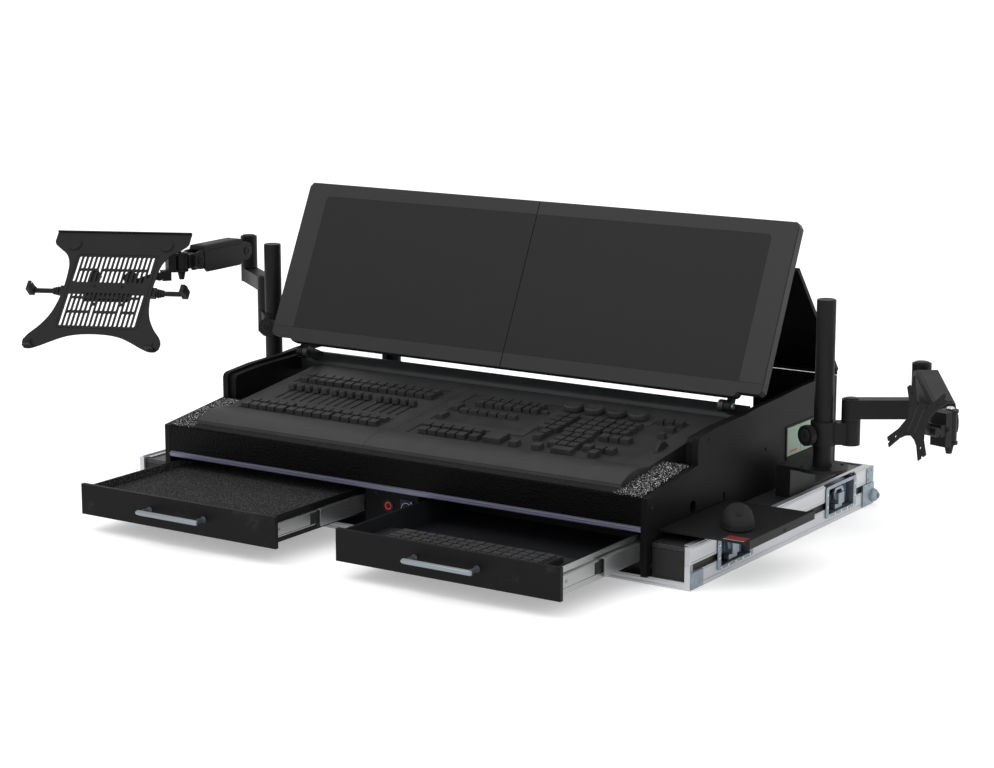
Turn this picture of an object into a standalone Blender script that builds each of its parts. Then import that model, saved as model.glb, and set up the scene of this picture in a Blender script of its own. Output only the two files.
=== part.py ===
"""Lighting console workstation in a flight-case tray.

Frame: +X to the operator's right, +Y to the back, +Z up. Origin: centre of the case on the floor.
All driving sizes are in millimetres and are turned into metres when the shapes are made.
"""
import math

import bmesh
import bpy
from mathutils import Matrix, Vector

MM = 0.001
GAP = 0.3

# flight-case tray
CASE_X = 590.0
CASE_Y = 348.0
TRAY_TOP = 71.0
SKIN = 3.7
DISH_FRONT = (-256.0, -130.0)
DISH_REAR = (150.0, 275.0)

# side cheeks
CHEEK_OUT = 515.7
CHEEK_IN = 504.0
CHEEK_FRONT = -360.0
CHEEK_REAR = 333.7

# console deck
DECK_HALF = 453.0
DECK_ORIGIN = (0.0, -337.0, 159.0)
DECK_SLOPE = math.radians(7.29)
SEAM_X = -75.0

# monitors
TILT_BACK = math.radians(25.4)
GLASS_FOOT = (0.0, -2.4, 280.4)
MONITOR_THICK = 20.0
TILT_AXIS = (0.0, -0.6, 232.6)

# rear flap
FLAP_AXIS = (0.0, 343.0, 240.0)
FLAP_ANGLE = math.radians(50.8)
FLAP_LENGTH = 273.0

# drawers, drawn out
DRAWER_FACE_Y = -603.3
DRAWER_IN = 63.6
DRAWER_OUT = 501.3

# poles and swing arms
POLE_X = 612.0
POLE_Y = 88.0
POLE_R = 17.0
REAR_PIVOT = 32.0
FRONT_PIN = 38.0

BLACK = (0.012, 0.012, 0.013)
SOFT_BLACK = (0.022, 0.022, 0.023)
ALU = (0.55, 0.56, 0.57)
STEEL = (0.33, 0.37, 0.41)


def clear_scene():
    for item in list(bpy.data.objects):
        bpy.data.objects.remove(item, do_unlink=True)


def new_collection(name):
    coll = bpy.data.collections.new(name)
    bpy.context.scene.collection.children.link(coll)
    return coll


def material(name, colour, rough, metal=0.0):
    mat = bpy.data.materials.new(name)
    mat.use_nodes = True
    shader = mat.node_tree.nodes["Principled BSDF"]
    shader.inputs["Base Color"].default_value = (colour[0], colour[1], colour[2], 1.0)
    shader.inputs["Roughness"].default_value = rough
    shader.inputs["Metallic"].default_value = metal
    return mat


def frame_at(origin, x_dir, z_dir=(0.0, 0.0, 1.0)):
    """A local frame in metres: origin in mm, x along x_dir, z as near z_dir as it can be."""
    x = Vector(x_dir).normalized()
    z = Vector(z_dir)
    z = (z - x * z.dot(x)).normalized()
    y = z.cross(x)
    turn = Matrix((x, y, z)).transposed().to_4x4()
    return Matrix.Translation(Vector(origin) * MM) @ turn


WORLD = Matrix.Identity(4)
DECK = frame_at(DECK_ORIGIN, (1, 0, 0), (0, -math.sin(DECK_SLOPE), math.cos(DECK_SLOPE)))
SCREEN = frame_at(GLASS_FOOT, (1, 0, 0), (0, -math.cos(TILT_BACK), math.sin(TILT_BACK)))
SIDE = Matrix(((0, 0, 1, 0), (1, 0, 0, 0), (0, 1, 0, 0), (0, 0, 0, 1)))


def mesh_from(bm, name="shape"):
    bmesh.ops.recalc_face_normals(bm, faces=bm.faces)
    mesh = bpy.data.meshes.new(name)
    bm.to_mesh(mesh)
    bm.free()
    return mesh


def block(x0, x1, y0, y1, z0, z1, at=WORLD):
    bm = bmesh.new()
    size = Matrix.Diagonal(((x1 - x0) * MM, (y1 - y0) * MM, (z1 - z0) * MM, 1.0))
    mid = Matrix.Translation(Vector(((x0 + x1) / 2, (y0 + y1) / 2, (z0 + z1) / 2)) * MM)
    bmesh.ops.create_cube(bm, size=1.0, matrix=at @ mid @ size)
    return mesh_from(bm)


def rod(a, b, radius, at=WORLD, sides=24, end_radius=None):
    a = Vector(a) * MM
    b = Vector(b) * MM
    along = b - a
    turn = along.to_track_quat("Z", "Y").to_matrix().to_4x4()
    bm = bmesh.new()
    if end_radius is None:
        end_radius = radius
    bmesh.ops.create_cone(bm, cap_ends=True, segments=sides, radius1=radius * MM,
                          radius2=end_radius * MM, depth=along.length,
                          matrix=at @ Matrix.Translation((a + b) / 2) @ turn)
    return mesh_from(bm)


def ball(centre, radius, at=WORLD, sides=16):
    bm = bmesh.new()
    bmesh.ops.create_uvsphere(bm, u_segments=sides, v_segments=sides // 2, radius=radius * MM,
                              matrix=at @ Matrix.Translation(Vector(centre) * MM))
    return mesh_from(bm)


def slab(outline, low, high, at=WORLD):
    """A flat outline in the local XY plane, thick from low to high along local Z."""
    curve = bpy.data.curves.new("outline", "CURVE")
    curve.dimensions = "2D"
    curve.fill_mode = "BOTH"
    curve.extrude = (high - low) / 2 * MM
    line = curve.splines.new("POLY")
    line.points.add(len(outline) - 1)
    for point, (x, y) in zip(line.points, outline):
        point.co = (x * MM, y * MM, 0.0, 1.0)
    line.use_cyclic_u = True
    guide = bpy.data.objects.new("outline", curve)
    bpy.context.scene.collection.objects.link(guide)
    bpy.context.view_layer.update()
    graph = bpy.context.evaluated_depsgraph_get()
    flat = bpy.data.meshes.new_from_object(guide.evaluated_get(graph))
    bm = bmesh.new()
    bm.from_mesh(flat)
    bmesh.ops.remove_doubles(bm, verts=bm.verts, dist=0.00001)
    shift = Matrix.Translation((0, 0, (low + high) / 2 * MM))
    bmesh.ops.transform(bm, matrix=at @ shift, verts=bm.verts)
    bpy.data.objects.remove(guide, do_unlink=True)
    bpy.data.curves.remove(curve)
    bpy.data.meshes.remove(flat)
    return mesh_from(bm)


def side_slab(outline, x0, x1):
    """An outline of (y, z) points, thick from x0 to x1."""
    return slab(outline, x0, x1, SIDE)


def round_rect(x0, x1, y0, y1, radius, steps=4):
    points = []
    corners = ((x1 - radius, y1 - radius, 0), (x0 + radius, y1 - radius, 1),
               (x0 + radius, y0 + radius, 2), (x1 - radius, y0 + radius, 3))
    for cx, cy, quarter in corners:
        for step in range(steps + 1):
            angle = math.pi / 2 * (quarter + step / steps)
            points.append((cx + radius * math.cos(angle), cy + radius * math.sin(angle)))
    return points


def joined(meshes):
    bm = bmesh.new()
    for mesh in meshes:
        bm.from_mesh(mesh)
    whole = bpy.data.meshes.new("operand")
    bm.to_mesh(whole)
    bm.free()
    return whole


def operand(name, meshes, cutters):
    helper = bpy.data.objects.new(name, joined(meshes))
    helper.hide_render = True
    helper.display_type = "WIRE"
    cutters.objects.link(helper)
    return helper


def solid(name, mat, shapes, cuts=(), pivot=(0.0, 0.0, 0.0)):
    """One closed piece: the first shape, joined by the others, less the cuts."""
    mesh = shapes[0].copy()
    mesh.name = name
    mesh.transform(Matrix.Translation(-Vector(pivot) * MM))
    mesh.materials.append(mat)
    mesh.shade_smooth()
    mesh.set_sharp_from_angle(angle=math.radians(30))
    piece = bpy.data.objects.new(name, mesh)
    piece.location = Vector(pivot) * MM
    PARTS.objects.link(piece)
    if len(shapes) > 1:
        union = piece.modifiers.new("join", "BOOLEAN")
        union.operation = "UNION"
        union.solver = "EXACT"
        union.use_self = len(shapes) > 2
        union.object = operand(name + "_join", shapes[1:], CUTTERS)
    if len(cuts) > 0:
        cut = piece.modifiers.new("cut", "BOOLEAN")
        cut.operation = "DIFFERENCE"
        cut.solver = "EXACT"
        cut.use_self = len(cuts) > 1
        cut.object = operand(name + "_cut", cuts, CUTTERS)
    return piece


def both_sides(make):
    """Run make(sign, side_name) for the right (+1) and the left (-1)."""
    make(1, "right")
    make(-1, "left")


def mirrored(points, sign):
    """An outline of (x, y) points on the right (+1) or mirrored on the left (-1)."""
    if sign > 0:
        return points
    return [(-x, y) for x, y in reversed(points)]


def span(sign, x0, x1):
    """An x range on the right (+1) or mirrored on the left (-1)."""
    if sign > 0:
        return x0, x1
    return -x1, -x0


# ---------------------------------------------------------------- flight-case tray

def make_tray():
    plywood = material("birch_plywood_black", (0.02, 0.02, 0.02), 0.6)
    cuts = [block(-576, 576, -335, 334, 14, 90),
            block(-516, 516, -370, -330, 14, 90)]
    for sign in (1, -1):
        for low, high in (DISH_FRONT, DISH_REAR):
            x0, x1 = span(sign, 555, 600)
            cuts.append(block(x0, x1, low + 9.7, high - 9.7, 15, 90))
    solid("tray_shell", plywood, [block(-586, 586, -343, 344, 4, 62.7)], cuts)

    laminate = material("grey_deck_laminate", (0.055, 0.055, 0.058), 0.7)
    cuts = [block(-516, 516, -400, 335.3, 50, 90)]
    for sign in (1, -1):
        for low, high in (DISH_FRONT, DISH_REAR):
            x0, x1 = span(sign, 561, 600)
            cuts.append(block(x0, x1, low + 9.7, high - 9.7, 50, 90))
    solid("deck_panel", laminate, [block(-586, 586, -343, 344, 63, 71)], cuts)


def make_bottom_extrusion():
    alu = material("aluminium_extrusion", ALU, 0.32, 1.0)
    low_ring = [block(-CASE_X, CASE_X, -CASE_Y, CASE_Y, 0, 30.5)]
    cuts = [block(-586.3, 586.3, -343.3, 344.3, 3.7, 60),
            block(-560, -25, -318, 318, -5, 10),
            block(25, 560, -318, 318, -5, 10),
            block(-580, 580, -360, -335, 13, 60)]
    for sign in (1, -1):
        x0, x1 = span(sign, 580, 610)
        for low, high in (DISH_FRONT, DISH_REAR):
            cuts.append(block(x0, x1, low + 9.7, high - 9.7, 17, 60))
        post = [(580, -347.9), (589.9, -347.9), (589.9, -338), (586.4, -338), (586.4, -343.4), (580, -343.4)]
        low_ring.append(slab(mirrored(post, sign), 5, 43.2))
        # riveted corner fitting with its ball
        fitting = [(544, 346), (588, 346), (588, 304), (592.5, 304), (592.5, 350.5), (544, 350.5)]
        low_ring.append(slab(mirrored(fitting, sign), 2, 42.8))
        low_ring.append(ball((sign * 590.7, 348.6, 17), 13))
        low_ring.append(block(*span(sign, 588, 592.2), -345, -306, 2, 30.1))
    solid("bottom_extrusion", alu, low_ring, cuts)


def make_top_extrusion():
    alu = material("aluminium_top_extrusion", ALU, 0.34, 1.0)
    cuts = [block(-586.3, 586.3, -343.3, 344.3, 40, 71.3),
            block(-572, 572, -370, 343.8, 60, 90),
            block(-580, 580, -370, -335, 40, 90)]
    for sign in (1, -1):
        x0, x1 = span(sign, 579.5, 610)
        for low, high in (DISH_FRONT, DISH_REAR):
            cuts.append(block(x0, x1, low - 0.3, high + 0.3, 30, 90))
    solid("top_extrusion", alu, [block(-CASE_X, CASE_X, -CASE_Y, CASE_Y, 43.5, 73)], cuts)


def make_latch_dish(sign, side, low, high, place):
    steel = material("zinc_steel_dish_" + side + "_" + place, STEEL, 0.36, 1.0)
    x0, x1 = span(sign, 590.4, 592.2)
    out = span(sign, 562, 592.1)
    mid = (low + high) / 2
    shapes = [side_slab(round_rect(low, high, 13, 70.8, 5, 3), x0, x1),
              block(*out, low + 10, high - 10, 17.4, 66.4)]
    solid("latch_dish_" + side + "_" + place, steel, shapes + [
        block(*span(sign, 562.2, 576), mid - 24, mid + 24, 30, 50),
        rod((sign * 575, mid, 42), (sign * 584, mid, 42), 11, sides=20),
        block(*span(sign, 583, 588), mid - 3, mid + 3, 33, 51)],
        hollow_around_latch(sign, low, high, mid))


def hollow_around_latch(sign, low, high, mid):
    """The dish's hollow, left standing around the latch body."""
    pocket = span(sign, 563.6, 600)
    front = span(sign, 576, 600)
    return [block(*pocket, low + 11.6, mid - 24, 19, 64.8),
            block(*pocket, mid + 24, high - 11.6, 19, 64.8),
            block(*pocket, mid - 24.5, mid + 24.5, 50, 64.8),
            block(*pocket, mid - 24.5, mid + 24.5, 19, 30),
            block(*front, mid - 24.5, mid - 11.5, 19, 64.8),
            block(*front, mid + 11.5, mid + 24.5, 19, 64.8)]


def make_dishes():
    for sign, side in ((1, "right"), (-1, "left")):
        make_latch_dish(sign, side, DISH_FRONT[0], DISH_FRONT[1], "front")
        make_latch_dish(sign, side, DISH_REAR[0], DISH_REAR[1], "rear")


# ---------------------------------------------------------------- desk housing

CHEEK_OUTLINE = [(CHEEK_FRONT, 14.3), (CHEEK_REAR, 14.3), (CHEEK_REAR, 241.4), (253, 241.4),
                 (188, 239.6), (109, 234.7), (32, 231.5), (-25, 226.5), (-114, 224),
                 (-180, 217.5), (-187, 214.5), (-190, 208), (-190, 170), (CHEEK_FRONT, 147)]
RIB_OUTLINE = [(-184, 163), (20, 190), (20, 223), (-114, 219), (-178, 213), (-184, 206)]


def make_cheek(sign, side):
    board = material("black_board_" + side, SOFT_BLACK, 0.55)
    x0, x1 = span(sign, CHEEK_IN, CHEEK_OUT)
    rib = span(sign, 489, 506)
    through = span(sign, 495, 530)
    cuts = []
    if sign > 0:
        cuts.append(side_slab(round_rect(-216, -196, 89, 112, 9.5, 5), *through))
        cuts.append(side_slab(round_rect(-98, -92, 90, 104, 2.5, 2), *through))
        cuts.append(block(*through, -319.5, -80.5, 83.4, 88.9))
    else:
        cuts.append(side_slab(round_rect(62, 325, 140, 222, 12, 4), *through))
    solid("cheek_" + side, board, [side_slab(CHEEK_OUTLINE, x0, x1),
                                   side_slab(RIB_OUTLINE, *rib)], cuts)


def make_front():
    strip = material("anodised_strip", (0.32, 0.33, 0.38), 0.3, 1.0)
    solid("front_strip", strip, [block(-503.7, 503.7, -359, -350, 88.4, 98.4),
                                 block(-503.7, 503.7, -361.6, -357, 90.4, 96.4)])
    textured = material("rough_black_paint", BLACK, 0.8)
    solid("fascia", textured, [block(-503.7, 503.7, -360, -350, 98.7, 146.7),
                               block(-503.7, 503.7, -355, -343, 128, 140)])

    foam = material("speckled_foam", (0.04, 0.04, 0.042), 0.95)
    outline = [(-358.5, 147), (-342, 147), (-342, 140.3), (-200, 140.3), (-200, 171.5),
               (-296, 160.3), (-358.5, 150)]
    solid("foam_surround", foam, [side_slab(outline, -503.6, 503.6)],
          [block(-453.4, 453.4, -339, -150, 120, 220)])

    post = material("black_centre_column", SOFT_BLACK, 0.5)
    sides = [(-67.5, -160), (54.6, -160), (54.6, -343), (49.6, -348), (-62.5, -348), (-67.5, -343)]
    solid("centre_column", post, [slab(sides, 14.3, 88.1),
                                  block(14, 41, -350, -346, 44, 75),
                                  rod((27.5, -345, 59.5), (27.5, -351.5, 59.5), 12)],
          [rod((-13, -352, 59.5), (-13, -338, 59.5), 8.3),
           rod((-13, -340, 59.5), (-13, -318, 59.5), 4.3, sides=16),
           block(21.5, 33.5, -356, -347.5, 56.8, 62.2)])
    red = material("button_ring_red", (0.55, 0.02, 0.02), 0.4)
    solid("power_button", red, [rod((-13, -349.5, 59.5), (-13, -343, 59.5), 8.0),
                                rod((-13, -344, 59.5), (-13, -326, 59.5), 4.0, sides=16)],
          pivot=(-13, -349.5, 59.5))

    back = material("black_rear_board", SOFT_BLACK, 0.55)
    solid("rear_panel", back, [block(-515, 515, 334.0, 342.8, 73.4, 236)],
          [block(-480, 346, 300, 400, 130, 215)])


# ---------------------------------------------------------------- console

PALM_DEPTH = 89.0
PALM_RISE = 9.4


def deck_height(y):
    """Height of the sloping deck, with the crowned palm rest along its front."""
    plane = DECK_ORIGIN[2] + (y - DECK_ORIGIN[1]) * math.tan(DECK_SLOPE)
    t = (y + 338.0) / PALM_DEPTH
    if 0.0 <= t <= 1.0:
        return plane + PALM_RISE * math.sin(math.pi * t ** 0.85)
    return plane


def deck_profile():
    points = [(-338.7, 143.5), (-338.7, 152.0), (-338.0, 153.2), (-338.0, 158.9)]
    for step in range(1, 17):
        y = -338.0 + PALM_DEPTH * step / 16
        points.append((y, deck_height(y)))
    points += [(26.8, deck_height(26.8)), (26.8, 100), (-300, 100), (-300, 140.5)]
    return points


HOLLOW_PROFILE = [(-295, 95), (-295, 158), (-249, 163.9), (-209, 168.3), (-112, 180.7), (20, 197.5), (20, 95)]
KEY_PITCH = 21.0


def key_caps(x0, x1, s_rows, depth, count, height=6.0):
    """A row or rows of key caps between x0 and x1 on the deck."""
    pitch = (x1 - x0) / count
    caps = []
    for s in s_rows:
        for i in range(count):
            left = x0 + i * pitch + 1.2
            caps.append(block(left, left + pitch - 2.4, s - depth / 2, s + depth / 2, -3.0, height, DECK))
    return caps


LEFT_UPPER = ((-417, -314), (-312, -210), (-208, -106))
LEFT_LOWER = ((-428, -326), (-322, -220), (-216, -114))
FADER_GROUPS = ((-407, -310), (-306, -211), (-202, -108))


def key_window(x0, x1, s0, s1, deep=30.0):
    return block(x0, x1, s0, s1, -deep, 30, DECK)


def key_plate(x0, x1, s0, s1):
    return block(x0 + GAP, x1 - GAP, s0 + GAP, s1 - GAP, -6.0, -1.0, DECK)


def fader_x(group):
    x0, x1 = group
    step = (x1 - x0) / 5
    return [x0 + step * (i + 0.5) for i in range(5)]


def make_console_left():
    case = material("console_shell_left", BLACK, 0.5)
    cuts = [side_slab(HOLLOW_PROFILE, -449, SEAM_X - 4),
            key_window(-427, -99, 254, 314),
            key_window(-432, -107, 86, 140)]
    for group in FADER_GROUPS:
        for x in fader_x(group):
            cuts.append(block(x - 1.5, x + 1.5, 160, 222, -30, 30, DECK))
    solid("console_left", case, [side_slab(deck_profile(), -DECK_HALF, SEAM_X - GAP)], cuts)

    caps = material("left_key_caps", SOFT_BLACK, 0.6)
    shapes = [key_plate(-427, -99, 254, 314)]
    for x0, x1 in LEFT_UPPER:
        shapes += key_caps(x0, x1, (267, 289), 18, 5)
    solid("keys_left_upper", caps, shapes)
    caps = material("lower_key_caps", SOFT_BLACK, 0.6)
    shapes = [key_plate(-432, -107, 86, 140)]
    for x0, x1 in LEFT_LOWER:
        shapes += key_caps(x0, x1, (101,), 18, 5)
        shapes += key_caps(x0 + 4, x1 + 4, (125,), 16, 5)
    solid("keys_left_lower", caps, shapes)

    for number, group in enumerate(FADER_GROUPS):
        knob = material("fader_caps_" + str(number + 1), SOFT_BLACK, 0.55)
        xs = fader_x(group)
        shapes = [block(xs[0] - 6, xs[-1] + 6, 210, 220, -15, -11, DECK)]
        for x in xs:
            shapes.append(block(x - 1.0, x + 1.0, 213, 217, -12, 4, DECK))
            shapes.append(block(x - 6.5, x + 6.5, 207.5, 221, 1.5, 11, DECK))
        solid("faders_" + ("a", "b", "c")[number], knob, shapes)


LOWER_OUTLINE = [(-44, 82), (412, 82), (412, 310), (347, 310), (347, 274), (166, 274), (166, 146), (-44, 146)]


def inset(outline, gap):
    """The same stepped outline, smaller by the gap all round."""
    signs = [(1, 1), (-1, 1), (-1, -1), (1, -1), (1, -1), (1, -1), (1, -1), (1, -1)]
    return [(x + gap * sx, y + gap * sy) for (x, y), (sx, sy) in zip(outline, signs)]


def make_console_right():
    case = material("console_shell_right", BLACK, 0.5)
    cuts = [side_slab(HOLLOW_PROFILE, SEAM_X + 4, 449),
            key_window(-46, 148, 164, 314),
            slab(LOWER_OUTLINE, -30, 30, DECK),
            block(425.5, 432.5, 153.5, 198.5, -30, 30, DECK)]
    for x in ENCODER_X:
        cuts.append(rod((x, ENCODER_S, -20), (x, ENCODER_S, 20), 3.4, DECK, 12))
    solid("console_right", case, [side_slab(deck_profile(), SEAM_X + GAP, DECK_HALF)], cuts)

    caps = material("right_key_caps", SOFT_BLACK, 0.6)
    shapes = [key_plate(-46, 148, 164, 314)]
    shapes += key_caps(-10, 92, (266, 288), 18, 5)
    shapes += key_caps(94, 126, (266, 288), 18, 2)
    shapes += key_caps(128, 145, (268,), 10, 1)
    shapes += key_caps(-18, 107, (222,), 14, 6)
    shapes += key_caps(-41, -23, (236,), 26, 1)
    shapes += key_caps(-41, -23, (186,), 26, 1)
    solid("keys_right_upper", caps, shapes)

    caps = material("keypad_caps", SOFT_BLACK, 0.6)
    shapes = [slab(inset(LOWER_OUTLINE, GAP), -6.0, -1.0, DECK)]
    shapes += key_caps(-22, 80, (99,), 18, 5)
    shapes += key_caps(85, 105, (102,), 18, 1)
    shapes += key_caps(-33, 99, (125,), 16, 6)
    shapes += key_caps(112, 152, (113,), 36, 1)
    shapes += key_caps(168, 188, (101,), 18, 1)
    shapes += key_caps(172, 216, (190, 212, 234, 256), 18, 2)
    shapes += key_caps(190, 210, (146, 168), 18, 1)
    shapes += key_caps(226, 291, (190, 212, 234, 256), 18, 3)
    shapes += key_caps(234, 296, (124, 146, 168), 18, 3)
    shapes += key_caps(216, 236, (101,), 18, 1)
    shapes += key_caps(256, 300, (99,), 18, 1)
    shapes += key_caps(294, 345, (212, 234, 256), 18, 3)
    shapes += key_caps(302, 366, (184,), 18, 3)
    shapes += key_caps(303, 323, (128,), 18, 1)
    shapes += key_caps(328, 348, (104,), 18, 1)
    shapes += key_caps(328, 368, (128,), 18, 2)
    shapes += key_caps(350, 409, (296,), 16, 3)
    shapes += key_caps(388, 408, (264,), 16, 1)
    shapes += key_caps(392, 408, (230,), 12, 1)
    solid("keys_right_lower", caps, shapes)

    for number, x in enumerate(ENCODER_X):
        disc = material("encoder_disc_" + str(number + 1), SOFT_BLACK, 0.45)
        solid("encoder_" + str(number + 1), disc,
              [rod((x, ENCODER_S, 0.5), (x, ENCODER_S, 13), 18, DECK, 32),
               rod((x, ENCODER_S, -12), (x, ENCODER_S, 2), 3.0, DECK, 12)],
              [rod((x, ENCODER_S + 10, 11.5), (x, ENCODER_S + 10, 15), 5, DECK, 16)],
              pivot=(DECK @ Vector((x * MM, ENCODER_S * MM, 0))) / MM)
    wheel = material("level_wheel", SOFT_BLACK, 0.5)
    solid("level_wheel", wheel, [rod((426, 176, -7), (432, 176, -7), 21, DECK, 40)],
          pivot=(DECK @ Vector((0.429, 0.176, -0.006))) / MM)


ENCODER_X = (177.0, 221.0, 267.0, 312.0)
ENCODER_S = 301.0


def make_rail():
    steel = material("rail_steel", STEEL, 0.35, 1.0)
    outline = [(27.2, 192), (50, 192), (50, 226), (43, 226), (31, 215), (27.2, 208)]
    shapes = [side_slab(outline, -488, 488)]
    y, z = TILT_AXIS[1], TILT_AXIS[2]
    cuts = []
    for sign in (1, -1):
        x0, x1 = span(sign, 454, 464)
        shapes.append(side_slab([(34, 210), (46, 210), (46, 226), (4, 243), (-6, 240), (-6, 226)], x0, x1))
        shapes.append(rod((x0, y, z), (x1, y, z), 11))
        cuts.append(rod((x0 - 5, y, z), (x1 + 5, y, z), 5.4, sides=20))
    solid("console_rail", steel, shapes, cuts)


# ---------------------------------------------------------------- monitors and flap

def make_monitor(sign, side):
    shell = material("monitor_" + side, (0.03, 0.03, 0.031), 0.3)
    points = [(0.4, -29), (488, -29), (490, -20), (540, -20), (540, 291), (534, 297), (0.4, 297)]
    if sign < 0:
        points = [(-x, y) for x, y in reversed(points)]
    solid("monitor_" + side, shell, [slab(points, -MONITOR_THICK, 0, SCREEN)], pivot=TILT_AXIS)


def make_monitor_frame():
    steel = material("monitor_frame_steel", SOFT_BLACK, 0.45)
    y, z = TILT_AXIS[1], TILT_AXIS[2]
    shapes = [block(-478, 478, 20, 60, -26, -20.4, SCREEN)]
    for sign in (1, -1):
        x0, x1 = span(sign, 466, 478)
        shapes.append(block(x0, x1, -54, 58, -30, -20.6, SCREEN))
        shapes.append(rod((x0, y, z), (x1, y, z), 10.5))
        shapes.append(rod((sign * 452, y, z), (sign * 470, y, z), 5.0, sides=20))
        x0, x1 = span(sign, 200, 300)
        shapes.append(block(x0, x1, 10, 200, -25.5, -20.5, SCREEN))
    solid("monitor_frame", steel, shapes, pivot=TILT_AXIS)


def make_flap():
    board = material("flap_board", SOFT_BLACK, 0.55)
    at = frame_at(FLAP_AXIS, (0, -math.cos(FLAP_ANGLE), math.sin(FLAP_ANGLE)),
                  (0, math.sin(FLAP_ANGLE), math.cos(FLAP_ANGLE)))
    solid("rear_flap", board,
          [block(0.6, FLAP_LENGTH, -514, 514, 2, 10, at),
           rod((0, -514, 0), (0, 514, 0), 3.4, at, 16)],
          [block(26, FLAP_LENGTH - 26, -489, 489, 8.5, 14, at)], pivot=FLAP_AXIS)


# ---------------------------------------------------------------- drawers

def make_drawer(sign, side):
    board = material("drawer_board_" + side, SOFT_BLACK, 0.5)
    front = span(sign, DRAWER_IN, DRAWER_OUT)
    # the centre column is wider on the left, so the left box is narrower
    near = 67.3
    if sign < 0:
        near = 80.3
    inner = span(sign, near + 3, 488.3)
    shapes = [block(*span(sign, near, 491.3), -596, -232, 34, 82),
              block(*front, DRAWER_FACE_Y, -595.3, 30.7, 86),
              block(*span(sign, near - 3.6, near + 0.5), -595.6, -240, 44, 69.5),
              block(*span(sign, 491, 495.0), -595.6, -240, 44, 69.5)]
    # raised felt floor near the rim, open underneath
    cuts = [block(*inner, -593, -235, 66, 90), block(*inner, -590, -238, 30, 62)]
    if sign > 0:
        # raised insert under the keyboard
        cuts = [block(70.3, 488.3, -593, -235, 57, 90),
                block(70.3, 488.3, -460, -235, 38, 90)]
    solid("drawer_" + side, board, shapes, cuts)

    bar = material("drawer_handle_" + side, (0.62, 0.63, 0.64), 0.25, 1.0)
    mid = -281.5
    if sign > 0:
        mid = 284.0
    y = DRAWER_FACE_Y
    solid("handle_" + side, bar,
          [rod((mid - 69, y - 25, 60), (mid + 69, y - 25, 60), 5, sides=16),
           rod((mid - 61, y - GAP, 60), (mid - 61, y - 24, 60), 4.2, sides=12),
           rod((mid + 61, y - GAP, 60), (mid + 61, y - 24, 60), 4.2, sides=12)])

    zinc = material("slide_zinc_" + side, (0.6, 0.61, 0.62), 0.3, 1.0)
    member = [(495.3, 41), (503.4, 41), (503.4, 72), (495.3, 72), (495.3, 69.9), (500.5, 69.9),
              (500.5, 43.6), (495.3, 43.6)]
    points = member
    if sign < 0:
        points = [(-x, z) for x, z in member]
    lay = Matrix(((1, 0, 0, 0), (0, 0, 1, 0), (0, 1, 0, 0), (0, 0, 0, 1)))
    solid("slide_outer_" + side, zinc, [slab(points, -472, -132, lay)])
    zinc = material("slide_zinc_inner_" + side, (0.6, 0.61, 0.62), 0.3, 1.0)
    shift = 495.3 + near - 3.9
    points = [(shift - x, z) for x, z in member]
    if sign < 0:
        points = [(-(shift - x), z) for x, z in member]
    solid("slide_inner_" + side, zinc, [slab(points, -472, -132, lay)])


def make_keyboard():
    cover = material("keyboard_cover", (0.03, 0.03, 0.033), 0.5)
    solid("keyboard", cover, [block(125, 437, -590, -486, 57.3, 68),
                              block(129, 433, -586, -500, 66, 74)])


def make_mouse_tray():
    sheet = material("tray_sheet", SOFT_BLACK, 0.45)
    solid("mouse_tray", sheet, [block(440, 680, -318, -82, 84, 88),
                                block(676, 682, -318, -82, 77, 92)])
    shell = material("mouse_shell", (0.02, 0.02, 0.021), 0.35)
    at = frame_at((612, -226, 88.3), (0.5, -0.86, 0))
    outline = []
    for step in range(24):
        angle = 2 * math.pi * step / 24
        outline.append((50 * math.cos(angle), 29 * math.sin(angle)))
    body = bmesh.new()
    body.from_mesh(slab(outline, 0, 34, at))
    inverse = at.inverted()
    for vert in body.verts:
        local = inverse @ vert.co
        if local.z > 0.02:
            local.x *= 0.72
            local.y *= 0.72
            vert.co = at @ local
    solid("mouse", shell, [mesh_from(body)])


# ---------------------------------------------------------------- poles and arms

def make_pole(sign, side, z_low, z_high, boss):
    """Pole with its foot flange and block; the clamped collar carries the boss of the swing arm."""
    steel = material("pole_" + side, SOFT_BLACK, 0.4)
    px = sign * POLE_X
    shapes = [rod((px, POLE_Y, 122), (px, POLE_Y, 422), POLE_R, sides=32),
              rod((px, POLE_Y, 121), (px, POLE_Y, 127), 46, sides=40),
              block(*span(sign, 542, 612), 50, 126, 121, 127),
              block(*span(sign, 542, 570), 48, 148, 71.3, 121.5),
              rod((px, POLE_Y, z_low), (px, POLE_Y, z_high), 22.5, sides=28),
              rod((boss[0], boss[1], z_low), (boss[0], boss[1], z_high), 17, sides=24)]
    away = Vector((boss[0] - px, boss[1] - POLE_Y, 0)).normalized()
    bridge = frame_at((px, POLE_Y, 0), away)
    shapes.append(block(5, 42, -14, 14, z_low + 2, z_high - 2, bridge))
    knob = frame_at((px, POLE_Y, (z_low + z_high) / 2), (-sign * 0.35, -0.94, 0))
    shapes.append(rod((15, 0, 0), (34, 0, 0), 5, knob, 12))
    shapes.append(rod((32, 0, 0), (44, 0, 0), 18, knob, 20))
    solid("pole_" + side, steel, shapes)


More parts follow.
